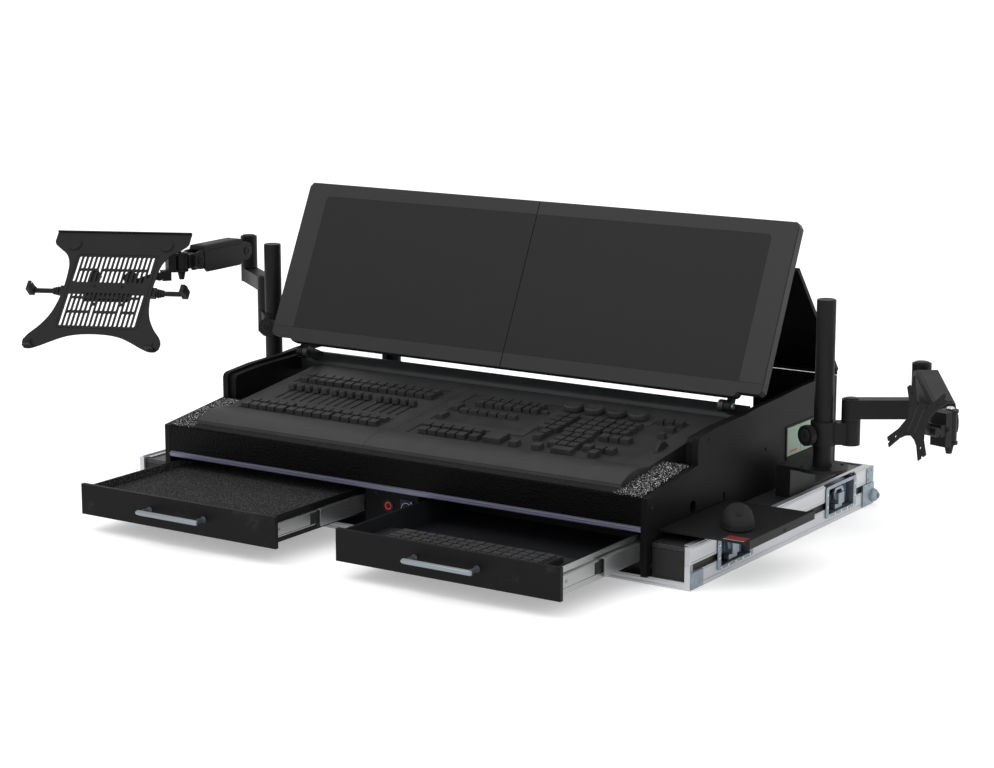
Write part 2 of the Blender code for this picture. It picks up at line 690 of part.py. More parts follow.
def make_arm(sign, side, spec):
    boss = Vector(spec["boss"])
    elbow = Vector(spec["elbow"])
    tip = Vector(spec["tip"])
    paint = material("arm_paint_" + side, SOFT_BLACK, 0.45)
    low, high = spec["bar"]
    # lower link: a flat bar with round ends, from the boss to the elbow
    out = Vector((elbow.x - boss.x, elbow.y - boss.y, 0))
    at = frame_at((boss.x, boss.y, 0), out)
    reach = out.length
    solid("lower_link_" + side, paint,
          [block(0, reach, -15, 15, low, high, at),
           rod((0, 0, spec["collar_top"] + GAP), (0, 0, high), 17, at, 24),
           rod((reach, 0, low), (reach, 0, high), 17, at, 24)],
          pivot=(boss.x, boss.y, low))
    # knuckle: turns on the elbow and holds the lift pivot in a lug
    paint = material("knuckle_paint_" + side, SOFT_BLACK, 0.45)
    level = Vector((tip.x - elbow.x, tip.y - elbow.y, 0))
    drop = elbow.z - tip.z
    at = frame_at(elbow, level)
    solid("knuckle_" + side, paint,
          [rod((0, 0, high + GAP - elbow.z), (0, 0, spec["column_top"] - elbow.z), 17, at, 28),
           block(5, REAR_PIVOT, -13, 13, -14, 14, at),
           rod((REAR_PIVOT, -13, 0), (REAR_PIVOT, 13, 0), 14, at, 20)],
          pivot=(elbow.x, elbow.y, elbow.z))
    # spring arm: a channel that straddles the knuckle's lug and the end block
    pivot = at @ Vector((REAR_PIVOT * MM, 0, 0)) / MM
    flat_len = level.length - REAR_PIVOT - FRONT_PIN
    span_len = math.hypot(flat_len, drop)
    pitch = math.atan2(drop, flat_len)
    far = frame_at(pivot, at.to_3x3() @ Vector((math.cos(pitch), 0, -math.sin(pitch))))
    paint = material("spring_arm_paint_" + side, (0.035, 0.035, 0.036), 0.4)
    body = round_rect(-18, span_len + 18, -18.5, 18.5, 17.8, 5)
    up = Matrix(((1, 0, 0, 0), (0, 0, -1, 0), (0, 1, 0, 0), (0, 0, 0, 1)))
    solid("spring_arm_" + side, paint, [slab(body, -19, 19, far @ up)],
          [block(-30, 22, -13.5, 13.5, -40, 40, far),
           block(span_len - 22, span_len + 30, -13.5, 13.5, -40, 40, far),
           block(20, span_len - 20, -15.5, 15.5, -40, 15.5, far)],
          pivot=pivot)
    # end block: stays level through the arm's own linkage
    end = far @ Vector((span_len * MM, 0, 0)) / MM
    paint = material("end_block_paint_" + side, SOFT_BLACK, 0.45)
    home = frame_at(end, level)
    eye = spec["eye"]
    solid("end_block_" + side, paint,
          [block(0, FRONT_PIN - 8, -13, 13, -14, 14, home),
           rod((0, -13, 0), (0, 13, 0), 14, home, 20),
           rod((FRONT_PIN, 0, -eye), (FRONT_PIN, 0, eye), 12, home, 20)],
          [rod((FRONT_PIN, 0, -30), (FRONT_PIN, 0, 30), 6.4, home, 16)],
          pivot=end)
    return home


def make_head(side, home, to_plate, eye, half, drop):
    """Head: forks over the end block's eye on a vertical pin and reaches to the tilt pivot."""
    pin = home @ Vector((FRONT_PIN * MM, 0, 0)) / MM
    paint = material("head_paint_" + side, SOFT_BLACK, 0.4)
    away = Vector(to_plate) - pin
    flat = Vector((away.x, away.y, 0))
    at = frame_at(pin, flat)
    ear = eye + 0.4
    top = ear + 4.6
    solid("head_" + side, paint,
          [rod((0, 0, -top - 4), (0, 0, top + 1.5), 6.0, at, 16),
           rod((0, 0, ear), (0, 0, top), 14, at, 20),
           rod((0, 0, -top), (0, 0, -ear), 14, at, 20),
           block(0, 20, -11, 11, ear, top, at),
           block(0, 20, -11, 11, -top, -ear, at),
           block(14.5, 30, -half, half, -top + 0.5, top - 0.5, at),
           block(24, 41.4, -half + 1, half - 1, -drop - 10, -drop + 10, at),
           rod((0, 0, -top - 2), (0, 0, -top - 16), 8, at, 16, 5)],
          pivot=pin)
    return pin, at


def tilt_point(at, drop):
    return at @ Vector((0.050, 0, -drop * MM)) / MM


def plate_frame(centre, across, up, normal):
    x = Vector(across).normalized()
    z = Vector(normal).normalized()
    return frame_at(centre, x, z)


def make_vesa(at, shaft_from):
    paint = material("vesa_plate_paint", SOFT_BLACK, 0.45)
    reach = 60
    outline = [(0, -26), (14, -30), (26, -37.5), (44, -58), (58, -44), (37.5, -24), (24, 0),
               (37.5, 24), (58, 44), (44, 58), (26, 37.5), (14, 30), (-14, 30), (-26, 37.5), (-44, 58),
               (-58, 44), (-37.5, 24), (-24, 0), (-37.5, -24), (-58, -44), (-44, -58), (-26, -37.5),
               (-14, -30)]
    cuts = []
    for x in (-50, 50):
        for y in (-50, 50):
            cuts.append(rod((x, y, -10), (x, y, 10), 2.6, at, 10))
    for x in (-37.5, 37.5):
        for y in (-37.5, 37.5):
            cuts.append(rod((x, y, -10), (x, y, 10), 2.6, at, 10))
    return outline, cuts, paint


def make_right_arm():
    boss = (652, 114.4)
    make_pole(1, "right", 165, 208, boss)
    spec = {"boss": (652, 114.4, 0), "elbow": (753, 181, 285), "tip": (898, -32, 254),
            "bar": (213, 247), "column_top": 317, "collar_top": 208, "eye": 24}
    home = make_arm(1, "right", spec)
    centre = (874.5, -116, 277)
    normal = (-0.505, -0.78, 0.37)
    pin, at = make_head("right", home, centre, 24, 16, 0)
    face = plate_frame(centre, (0.827, -0.556, -0.044), (0.24, 0.286, 0.928), normal)
    outline, cuts, paint = make_vesa(face, pin)
    tilt = tilt_point(at, 0)
    stem = Vector(centre) + (face.to_3x3() @ Vector((0, 0, -3)))
    solid("vesa_plate", paint,
          [slab(outline, -2.5, 0, face),
           stem_rod(tilt, stem, 7),
           tilt_barrel(at, 8, 0)], cuts, pivot=tilt)


def stem_rod(start, end, radius):
    return rod(tuple(start), tuple(end), radius, sides=14)


def tilt_barrel(at, radius, drop):
    return rod((50, -16, -drop), (50, 16, -drop), radius, at, 16)


def make_left_arm():
    boss = (-652, 114.4)
    make_pole(-1, "left", 238, 283, boss)
    spec = {"boss": (-652, 114.4, 0), "elbow": (-758, 193, 390), "tip": (-750, -30, 390),
            "bar": (322, 350), "column_top": 427, "collar_top": 283, "eye": 14}
    home = make_arm(-1, "left", spec)
    centre = (-833, -159, 343)
    pin, at = make_head("left", home, centre, 14, 12, 25)
    face = plate_frame(centre, (0.957, 0.2895, 0.022), (-0.211, 0.647, 0.732), (0.198, -0.705, 0.681))
    tilt = tilt_point(at, 25)
    paint = material("laptop_tray_paint", SOFT_BLACK, 0.45)
    half = [(0, -98), (40, -101), (75, -112), (104, -130), (128, -140), (146, -134), (140, -112),
            (118, -80), (100, -40), (96, 0), (98, 50), (108, 92), (128, 118), (146, 126), (146, 140)]
    outline = half + [(-x, y) for x, y in reversed(half[1:])]
    cuts = []
    for low, high in ((-78, -30), (40, 96)):
        for i in range(9):
            x = -80 + i * 20
            cuts.append(block(x - 5, x + 5, low, high, -12, 12, face))
    stem = Vector(centre) + (face.to_3x3() @ Vector((0, 0, -8)))
    solid("laptop_tray", paint,
          [slab(outline, -2.5, 0, face),
           block(-50, 50, -24, 30, -7, -2, face),
           block(-146, 146, 137.5, 140, -2, 3, face),
           rod((-165, 0, -8), (165, 0, -8), 5, face, 12),
           block(-30, 30, -12, 12, -14, -6, face),
           block(-172, -160, -9, 9, -12, 14, face),
           block(160, 172, -9, 9, -12, 14, face),
           block(-140, -120, -138, -134, -2, 16, face),
           block(120, 140, -138, -134, -2, 16, face),
           stem_rod(tilt, stem, 8),
           tilt_barrel(at, 8, 25)], cuts, pivot=tilt)


clear_scene()
PARTS = new_collection("console_workstation")
CUTTERS = new_collection("cutters")
make_tray()
make_bottom_extrusion()
make_top_extrusion()
make_dishes()
both_sides(make_cheek)
make_front()
make_console_left()
make_console_right()
make_rail()
both_sides(make_monitor)
make_monitor_frame()
make_flap()
both_sides(make_drawer)
make_keyboard()
make_mouse_tray()
make_right_arm()
make_left_arm()
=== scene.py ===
import math
import random
import bpy
import bmesh
from mathutils import Matrix, Vector
from mathutils.geometry import delaunay_2d_cdt


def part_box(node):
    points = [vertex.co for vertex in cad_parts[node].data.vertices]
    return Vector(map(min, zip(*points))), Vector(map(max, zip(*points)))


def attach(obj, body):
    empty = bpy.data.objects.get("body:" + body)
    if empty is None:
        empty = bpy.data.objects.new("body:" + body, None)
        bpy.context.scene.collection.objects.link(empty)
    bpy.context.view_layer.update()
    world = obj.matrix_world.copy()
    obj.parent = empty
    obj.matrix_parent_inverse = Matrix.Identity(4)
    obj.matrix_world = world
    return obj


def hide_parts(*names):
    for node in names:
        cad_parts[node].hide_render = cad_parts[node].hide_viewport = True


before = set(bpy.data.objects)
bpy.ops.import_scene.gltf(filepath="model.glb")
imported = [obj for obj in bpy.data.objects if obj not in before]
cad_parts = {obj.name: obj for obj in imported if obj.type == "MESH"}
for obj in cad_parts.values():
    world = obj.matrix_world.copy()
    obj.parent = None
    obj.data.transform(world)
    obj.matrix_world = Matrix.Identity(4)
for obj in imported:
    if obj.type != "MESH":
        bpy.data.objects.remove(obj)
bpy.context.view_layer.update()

MM = 0.001
EYE = Matrix.Identity(4)
RAND = random.Random(7)


def frame_at(origin, x, z):
    z = Vector(z).normalized()
    x = Vector(x)
    x = (x - z * x.dot(z)).normalized()
    y = z.cross(x)
    m = Matrix((x, y, z)).transposed().to_4x4()
    m.translation = Vector(origin)
    return m


SIN_D, COS_D = math.sin(math.radians(7.29)), math.cos(math.radians(7.29))
SIN_S, COS_S = math.sin(math.radians(25.4)), math.cos(math.radians(25.4))
SIN_F, COS_F = math.sin(math.radians(50.8)), math.cos(math.radians(50.8))
DECK = frame_at((0, -337, 159), (1, 0, 0), (0, -SIN_D, COS_D))
SCREEN = frame_at((0, -2.4, 280.4), (1, 0, 0), (0, -COS_S, SIN_S))
FLAP = frame_at((0, 343, 240), (0, -COS_F, SIN_F), (0, SIN_F, COS_F))
TRAY = frame_at((-833, -159, 343), (0.957, 0.2895, 0.022), (0.198, -0.705, 0.681))
VESA = frame_at((874.5, -116, 277), (0.827, -0.556, -0.044), (-0.505, -0.78, 0.37))


# ------------------------------------------------------------ materials

def paint(name, base, rough, metal=0.0, spec=0.3, tint=0.2, scale=25.0, bump=0.15, grain=900.0, depth=0.0002,
          stretch=(1, 1, 1), rough_var=0.07, wear=0.0, wear_colour=(0.2, 0.2, 0.21), specks=None, cells=False,
          coat=0.0, middle_shade_span=None):
    """Procedural finish: mottled colour, uneven roughness, fine grain bump, worn patches, flecks."""
    m = bpy.data.materials.new(name)
    m.use_nodes = True
    t = m.node_tree
    n, link = t.nodes, t.links.new
    shader = n["Principled BSDF"]
    shader.inputs["Metallic"].default_value = metal
    shader.inputs["Specular IOR Level"].default_value = spec
    shader.inputs["Coat Weight"].default_value = coat
    place = n.new("ShaderNodeTexCoord")
    mapping = n.new("ShaderNodeMapping")
    mapping.inputs["Scale"].default_value = stretch
    link(place.outputs["Object"], mapping.inputs["Vector"])
    cloud = n.new("ShaderNodeTexNoise")
    cloud.inputs["Scale"].default_value = scale
    cloud.inputs["Detail"].default_value = 5.0
    link(mapping.outputs["Vector"], cloud.inputs["Vector"])
    ramp = n.new("ShaderNodeValToRGB")
    ramp.color_ramp.elements[0].position = 0.3
    ramp.color_ramp.elements[1].position = 0.7
    ramp.color_ramp.elements[0].color = [c * (1 - tint) for c in base] + [1]
    ramp.color_ramp.elements[1].color = [c * (1 + tint) for c in base] + [1]
    link(cloud.outputs["Fac"], ramp.inputs["Fac"])
    colour = ramp.outputs["Color"]
    fine = n.new("ShaderNodeTexVoronoi" if cells else "ShaderNodeTexNoise")
    fine.inputs["Scale"].default_value = grain
    link(mapping.outputs["Vector"], fine.inputs["Vector"])
    fine_out = fine.outputs["Distance" if cells else "Fac"]
    if specks:
        fleck_colour, fleck_scale, low, high = specks
        fleck = n.new("ShaderNodeTexNoise")
        fleck.inputs["Scale"].default_value = fleck_scale
        fleck.inputs["Detail"].default_value = 1.0
        link(place.outputs["Object"], fleck.inputs["Vector"])
        pick = n.new("ShaderNodeMapRange")
        pick.inputs["From Min"].default_value = low
        pick.inputs["From Max"].default_value = high
        link(fleck.outputs["Fac"], pick.inputs["Value"])
        amount = pick.outputs["Result"]
        if middle_shade_span:
            # flecks fade out between these distances from the middle plane: painted shade, the foam nearer the middle
            # stays dark
            split = n.new("ShaderNodeSeparateXYZ")
            link(place.outputs["Object"], split.inputs["Vector"])
            far_out = n.new("ShaderNodeMath")
            far_out.operation = "ABSOLUTE"
            link(split.outputs["X"], far_out.inputs[0])
            fade = n.new("ShaderNodeMapRange")
            fade.inputs["From Min"].default_value, fade.inputs["From Max"].default_value = middle_shade_span
            fade.inputs["To Min"].default_value = 0.03
            link(far_out.outputs[0], fade.inputs["Value"])
            both = n.new("ShaderNodeMath")
            both.operation = "MULTIPLY"
            link(amount, both.inputs[0])
            link(fade.outputs["Result"], both.inputs[1])
            amount = both.outputs[0]
        mix = n.new("ShaderNodeMix")
        mix.data_type = "RGBA"
        mix.inputs["B"].default_value = list(fleck_colour) + [1]
        link(amount, mix.inputs["Factor"])
        link(colour, mix.inputs["A"])
        colour = mix.outputs["Result"]
    if wear:
        # sparse rubbed patches and fine scratches
        rub = n.new("ShaderNodeTexNoise")
        rub.inputs["Scale"].default_value = 14.0
        rub.inputs["Detail"].default_value = 9.0
        rub.inputs["Roughness"].default_value = 0.72
        link(place.outputs["Object"], rub.inputs["Vector"])
        sharp = n.new("ShaderNodeMapRange")
        sharp.inputs["From Min"].default_value = 0.6
        sharp.inputs["From Max"].default_value = 0.78
        sharp.inputs["To Max"].default_value = wear * 0.5
        link(rub.outputs["Fac"], sharp.inputs["Value"])
        mix = n.new("ShaderNodeMix")
        mix.data_type = "RGBA"
        mix.inputs["B"].default_value = list(wear_colour) + [1]
        link(sharp.outputs["Result"], mix.inputs["Factor"])
        link(colour, mix.inputs["A"])
        colour = mix.outputs["Result"]
    link(colour, shader.inputs["Base Color"])
    rmap = n.new("ShaderNodeMapRange")
    rmap.inputs["To Min"].default_value = max(0.02, rough - rough_var)
    rmap.inputs["To Max"].default_value = min(1.0, rough + rough_var)
    link(cloud.outputs["Fac"], rmap.inputs["Value"])
    link(rmap.outputs["Result"], shader.inputs["Roughness"])
    if bump:
        node = n.new("ShaderNodeBump")
        node.inputs["Strength"].default_value = bump
        node.inputs["Distance"].default_value = depth
        link(fine_out, node.inputs["Height"])
        link(node.outputs["Normal"], shader.inputs["Normal"])
    return m


GREY = (0.2, 0.2, 0.21)
M = {
    "powder": paint("powder_black", (0.0065, 0.0065, 0.0067), 0.5, spec=0.17, bump=0.35, grain=1400, wear=0.25, wear_colour=(0.06, 0.06, 0.062)),
    "board": paint("board_black", (0.0028, 0.0028, 0.003), 0.5, spec=0.1, bump=0.25, grain=500, stretch=(1, 0.25, 1), wear=0.35, wear_colour=(0.05, 0.05, 0.05)),
    "front": paint("drawer_front_black", (0.003, 0.003, 0.0032), 0.5, spec=0.12, bump=0.2, grain=700, wear=0.6, wear_colour=(0.08, 0.08, 0.08)),
    "deck": paint("deck_plastic", (0.0215, 0.0215, 0.022), 0.55, spec=0.32, bump=0.5, grain=1500, depth=0.00015, wear=0.2, wear_colour=(0.05, 0.05, 0.05)),
    "plate": paint("key_plate", (0.0165, 0.0165, 0.017), 0.6, spec=0.28, bump=0.3, grain=1500),
    "cap": paint("key_cap", (0.0205, 0.0205, 0.021), 0.5, spec=0.3, bump=0.25, grain=1800, depth=0.0001, wear=0.5, wear_colour=(0.055, 0.055, 0.056)),
    "crackle": paint("crackle_paint", (0.0008, 0.0008, 0.0008), 0.45, spec=0.07, bump=0.8, grain=330, depth=0.0012, cells=True),
    "strip": paint("anodised_strip", (0.155, 0.155, 0.225), 0.38, metal=0.55, spec=0.5, bump=0.15, grain=300, stretch=(0.03, 1, 1), tint=0.1),
    "alu": paint("brushed_aluminium", (0.5, 0.51, 0.53), 0.4, metal=0.75, spec=0.5, bump=0.25, grain=900, stretch=(1, 0.02, 1), tint=0.08),
    "alu_x": paint("brushed_aluminium_front", (0.52, 0.525, 0.54), 0.4, metal=0.75, spec=0.5, bump=0.25, grain=900, stretch=(0.02, 1, 1), tint=0.08),
    "zinc": paint("blued_zinc", (0.235, 0.275, 0.315), 0.33, metal=0.75, spec=0.5, tint=0.16, scale=60, bump=0.2, grain=500, wear=0.6, wear_colour=(0.6, 0.65, 0.7)),
    # a darker copy of the zinc: painted shade for recessed dish faces, the blocks in the dish and the corner hole
    "zinc_painted_shade": paint("zinc_recess_painted_shade", (0.09, 0.125, 0.17), 0.35, metal=0.7, spec=0.5, tint=0.3, scale=50, bump=0.2, grain=500),
    "slide": paint("slide_zinc", (0.31, 0.32, 0.315), 0.25, metal=0.9, spec=0.5, tint=0.08, scale=9, bump=0.15, grain=400, stretch=(1, 0.05, 1)),
    "satin": paint("satin_steel", (0.24, 0.26, 0.29), 0.3, metal=0.85, spec=0.5, tint=0.08, bump=0.2, grain=900, stretch=(0.03, 1, 1)),
    "chrome": paint("bright_screw", (0.65, 0.66, 0.67), 0.18, metal=1.0, spec=0.5, tint=0.05, bump=0.1, grain=700),
    "bezel": paint("glass_bezel", (0.021, 0.021, 0.0215), 0.42, spec=0.2, tint=0.04, bump=0.04, grain=300, rough_var=0.03),
    "glass": paint("screen_glass", (0.0112, 0.0112, 0.0116), 0.46, spec=0.16, tint=0.05, bump=0.05, grain=260, rough_var=0.03),
    "shell": paint("screen_shell", (0.011, 0.011, 0.0115), 0.5, spec=0.3, bump=0.3, grain=1200, wear=0.3, wear_colour=(0.05, 0.05, 0.05)),
    "felt": paint("speckled_felt", (0.016, 0.016, 0.0165), 0.95, spec=0.15, tint=0.35, scale=300, bump=0.9, grain=1100, depth=0.0008, specks=((0.075, 0.075, 0.077), 330, 0.53, 0.68)),
    "liner": paint("drawer_liner", (0.007, 0.0075, 0.0095), 0.6, spec=0.25, bump=0.4, grain=900),
    # the foam's flecks fade towards the middle: painted shade
    "foam": paint("speckled_foam", (0.006, 0.006, 0.0065), 0.9, spec=0.2, tint=0.4, scale=200, bump=1.0, grain=480, depth=0.0015, specks=((0.62, 0.62, 0.63), 430, 0.6, 0.66), middle_shade_span=(0.447, 0.462)),
    "laminate": paint("speckled_laminate", (0.0135, 0.0135, 0.0145), 0.42, spec=0.35, tint=0.3, scale=250, bump=0.35, grain=900, specks=((0.05, 0.05, 0.053), 420, 0.54, 0.68)),
    "ply": paint("case_board", (0.0085, 0.0085, 0.0085), 0.55, spec=0.3, bump=0.4, grain=420, tint=0.25),
    "rail": paint("rail_steel", (0.0165, 0.0185, 0.0195), 0.42, spec=0.4, bump=0.25, grain=1100, wear=0.4, wear_colour=(0.07, 0.075, 0.08)),
    "rubber": paint("soft_rubber", (0.009, 0.009, 0.009), 0.75, spec=0.25, bump=0.4, grain=900),
    "red": paint("red_ring", (0.42, 0.02, 0.012), 0.4, spec=0.4, tint=0.15, bump=0.1),
    "label": paint("red_label", (0.17, 0.012, 0.016), 0.5, spec=0.3, tint=0.25, scale=200, bump=0.1),
    "white": paint("white_line", (0.45, 0.45, 0.45), 0.55, tint=0.2, scale=300, bump=0.1),
    "blue": paint("blue_insert", (0.015, 0.03, 0.42), 0.4, tint=0.1, bump=0.1),
    "tile": paint("pale_green_tile", (0.225, 0.305, 0.245), 0.45, tint=0.06, scale=40, bump=0.15, grain=700),
    "orange": paint("orange_mark", (0.22, 0.075, 0.01), 0.5, tint=0.1, bump=0.1),
}


# ------------------------------------------------------------ mesh kit

class Shape:
    """Gathers solids given in millimetres and turns them into one riding piece."""

    def __init__(self, name, body, slot=None, bevel=0.5, smooth=35.0):
        self.name, self.body, self.slot, self.bevel, self.smooth = name, body, slot, bevel, smooth
        self.bm = bmesh.new()
        self.mats = []

    def index(self, key):
        if key not in self.mats:
            self.mats.append(key)
        return self.mats.index(key)

    def add(self, key, verts, faces, at=EYE):
        made = [self.bm.verts.new(at @ Vector(v)) for v in verts]
        slot = self.index(key)
        for f in faces:
            face = self.bm.faces.new([made[i] for i in f])
            face.material_index = slot
        return self

    def box(self, key, lo, hi, at=EYE, taper=(0, 0)):
        (a, b, c), (d, e, f) = lo, hi
        u, v = taper
        verts = [(a, b, c), (d, b, c), (d, e, c), (a, e, c),
                 (a + u, b + v, f), (d - u, b + v, f), (d - u, e - v, f), (a + u, e - v, f)]
        return self.add(key, verts, [(3, 2, 1, 0), (4, 5, 6, 7), (0, 1, 5, 4), (1, 2, 6, 5), (2, 3, 7, 6), (3, 0, 4, 7)], at)

    def lathe(self, key, start, axis, profile, sides=28, at=EYE):
        m = at @ frame_at(start, (1, 0, 0) if abs(Vector(axis).normalized().x) < 0.9 else (0, 1, 0), axis)
        verts, rings, faces = [], [], []
        for r, t in profile:
            if r < 1e-6:
                rings.append([len(verts)])
                verts.append((0, 0, t))
            else:
                ring = []
                for i in range(sides):
                    a = 2 * math.pi * i / sides
                    ring.append(len(verts))
                    verts.append((r * math.cos(a), r * math.sin(a), t))
                rings.append(ring)
        for lo, hi in zip(rings, rings[1:]):
            for i in range(sides):
                j = (i + 1) % sides
                if len(lo) == 1 and len(hi) == 1:
                    continue
                if len(lo) == 1:
                    faces.append((lo[0], hi[i], hi[j]))
                elif len(hi) == 1:
                    faces.append((lo[i], lo[j], hi[0]))
                else:
                    faces.append((lo[i], lo[j], hi[j], hi[i]))
        return self.add(key, verts, faces, m)

    def rod(self, key, a, b, r, c=0.6, sides=28, at=EYE, r2=None):
        r2 = r if r2 is None else r2
        length = (Vector(b) - Vector(a)).length
        c = min(c, r * 0.4, length * 0.3)
        return self.lathe(key, a, Vector(b) - Vector(a), [(0, 0), (r - c, 0), (r, c), (r2, length - c), (r2 - c, length), (0, length)], sides, at)

    def screw(self, key, at_point, axis, r=3.0, h=1.4, at=EYE):
        """Low domed head with a hexagon socket."""
        self.lathe(key, at_point, axis, [(0, 0), (r, 0), (r, h * 0.45), (r * 0.8, h * 0.85), (r * 0.5, h), (r * 0.42, h), (r * 0.36, h * 0.35), (0, h * 0.35)], 18, at)

    def rivet(self, key, at_point, axis, r=2.6, h=1.1, at=EYE):
        self.lathe(key, at_point, axis, [(0, 0), (r, 0), (r * 0.94, h * 0.4), (r * 0.7, h * 0.8), (r * 0.35, h), (0, h)], 14, at)

    def prism(self, key, outline, z0, z1, at=EYE, holes=()):
        loops = [outline] + list(holes)
        if not holes:
            k = len(outline)
            verts = [(x, y, z0) for x, y in outline] + [(x, y, z1) for x, y in outline]
            faces = [tuple(range(k - 1, -1, -1)), tuple(range(k, 2 * k))]
            faces += [(i, (i + 1) % k, k + (i + 1) % k, k + i) for i in range(k)]
            return self.add(key, verts, faces, at)
        pts, edges = [], []
        for loop in loops:
            first = len(pts)
            pts += [Vector(p) for p in loop]
            edges += [(first + i, first + (i + 1) % len(loop)) for i in range(len(loop))]
        out = delaunay_2d_cdt(pts, edges, [], 0, 1e-5)
        flat, tris = out[0], out[2]
        keep = []
        for tri in tris:
            mid = sum((flat[i] for i in tri), Vector((0, 0))) / len(tri)
            if inside(mid, outline) and not any(inside(mid, h) for h in holes):
                keep.append(tri)
        k = len(flat)
        verts = [(p.x, p.y, z0) for p in flat] + [(p.x, p.y, z1) for p in flat]
        faces = [tuple(reversed(tri)) for tri in keep] + [tuple(i + k for i in tri) for tri in keep]
        used = {}
        for tri in keep:
            for a, b in zip(tri, list(tri[1:]) + [tri[0]]):
                used[(a, b)] = True
        for a, b in used:
            if (b, a) not in used:
                faces.append((a, b, b + k, a + k))
        return self.add(key, verts, faces, at)

    def tube(self, key, points, r, sides=12, at=EYE):
        pts = [Vector(p) for p in points]
        verts, rings, faces = [], [], []
        up = Vector((0, 0, 1))
        for i, p in enumerate(pts):
            d = (pts[min(i + 1, len(pts) - 1)] - pts[max(i - 1, 0)]).normalized()
            side = d.cross(up)
            side = side.normalized() if side.length > 1e-4 else Vector((1, 0, 0))
            other = side.cross(d)
            rings.append(len(verts))
            for s in range(sides):
                a = 2 * math.pi * s / sides
                verts.append(p + side * (r * math.cos(a)) + other * (r * math.sin(a)))
        for lo, hi in zip(rings, rings[1:]):
            for s in range(sides):
                q = (s + 1) % sides
                faces.append((lo + s, lo + q, hi + q, hi + s))
        faces.append(tuple(range(sides - 1, -1, -1)))
        faces.append(tuple(rings[-1] + s for s in range(sides)))
        return self.add(key, verts, faces, at)

    def skin(self, node, key, zones=(), weld=0.001):
        """Takes over the shape of a CAD node, cleaned so its edges can be rounded."""
        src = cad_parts[node].data
        part = bmesh.new()
        part.from_mesh(src)
        bmesh.ops.remove_doubles(part, verts=part.verts, dist=2e-6)
        bmesh.ops.dissolve_limit(part, angle_limit=math.radians(0.6), verts=part.verts, edges=part.edges)
        made = {v: self.bm.verts.new(v.co / MM) for v in part.verts}
        base = self.index(key)
        for f in part.faces:
            c = f.calc_center_median() / MM
            slot = base
            for zone_key, test in zones:
                if test(c, f.normal):
                    slot = self.index(zone_key)
                    break
            try:
                face = self.bm.faces.new([made[v] for v in f.verts])
                face.material_index = slot
            except ValueError:
                pass
        part.free()
        return self

    def done(self, *nodes, soft=None):
        bmesh.ops.recalc_face_normals(self.bm, faces=self.bm.faces)
        bmesh.ops.scale(self.bm, vec=(MM, MM, MM), verts=self.bm.verts)
        me = bpy.data.meshes.new(self.name)
        self.bm.to_mesh(me)
        self.bm.free()
        for key in self.mats:
            me.materials.append(M[key])
        me.polygons.foreach_set("use_smooth", [True] * len(me.polygons))
        me.set_sharp_from_angle(angle=math.radians(self.smooth))
        o = bpy.data.objects.new(self.name, me)
        bpy.context.scene.collection.objects.link(o)
        if self.bevel:
            b = o.modifiers.new("edge_rounding", "BEVEL")
            b.width = self.bevel * MM
            b.segments = 2
            b.limit_method = "ANGLE"
            b.angle_limit = math.radians(36)
            b.harden_normals = True
            b.use_clamp_overlap = True
        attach(o, self.body)
        if nodes:
            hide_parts(*nodes)
        return o


def inside(p, loop):
    hit = False
    for (x0, y0), (x1, y1) in zip(loop, list(loop[1:]) + [loop[0]]):
        if (y0 > p[1]) != (y1 > p[1]) and p[0] < (x1 - x0) * (p[1] - y0) / (y1 - y0) + x0:
            hit = not hit
    return hit


def rounded(x0, x1, y0, y1, r, n=5):
    pts = []
    for cx, cy, a0 in ((x1 - r, y0 + r, -90), (x1 - r, y1 - r, 0), (x0 + r, y1 - r, 90), (x0 + r, y0 + r, 180)):
        for i in range(n + 1):
            a = math.radians(a0 + 90 * i / n)
            pts.append((cx + r * math.cos(a), cy + r * math.sin(a)))
    return pts


def circle(cx, cy, r, n=16):
    return [(cx + r * math.cos(2 * math.pi * i / n), cy + r * math.sin(2 * math.pi * i / n)) for i in range(n)]


def smooth_line(pts, steps=6):
    """Catmull-Rom through the points of an open outline."""
    out = []
    for i in range(len(pts) - 1):
        p0, p1, p2, p3 = (Vector(pts[max(0, min(len(pts) - 1, j))]) for j in (i - 1, i, i + 1, i + 2))
        for k in range(steps):
            t = k / steps
            q = 0.5 * ((2 * p1) + (p2 - p0) * t + (2 * p0 - 5 * p1 + 4 * p2 - p3) * t * t + (3 * p1 - p0 - 3 * p2 + p3) * t ** 3)
            out.append((q.x, q.y))
    out.append(tuple(pts[-1]))
    return out


# ------------------------------------------------------------ flight case

Shape("case_tray", "base", bevel=0.8).skin("tray_shell", "ply").done("tray_shell")
Shape("case_deck", "base", bevel=0.8).skin("deck_panel", "laminate").done("deck_panel")


def fitting(c, n):
    return (abs(c.x) > 588.0 and (c.y > 303 or c.y < -305.5) and c.z > 1.95) or (c.y > 345.8 and abs(c.x) > 543) or \
        (abs(c.x) > 577 and c.y > 335 and c.z < 31 and (Vector((abs(c.x), c.y, c.z)) - Vector((590.7, 348.6, 17))).length < 13.4)


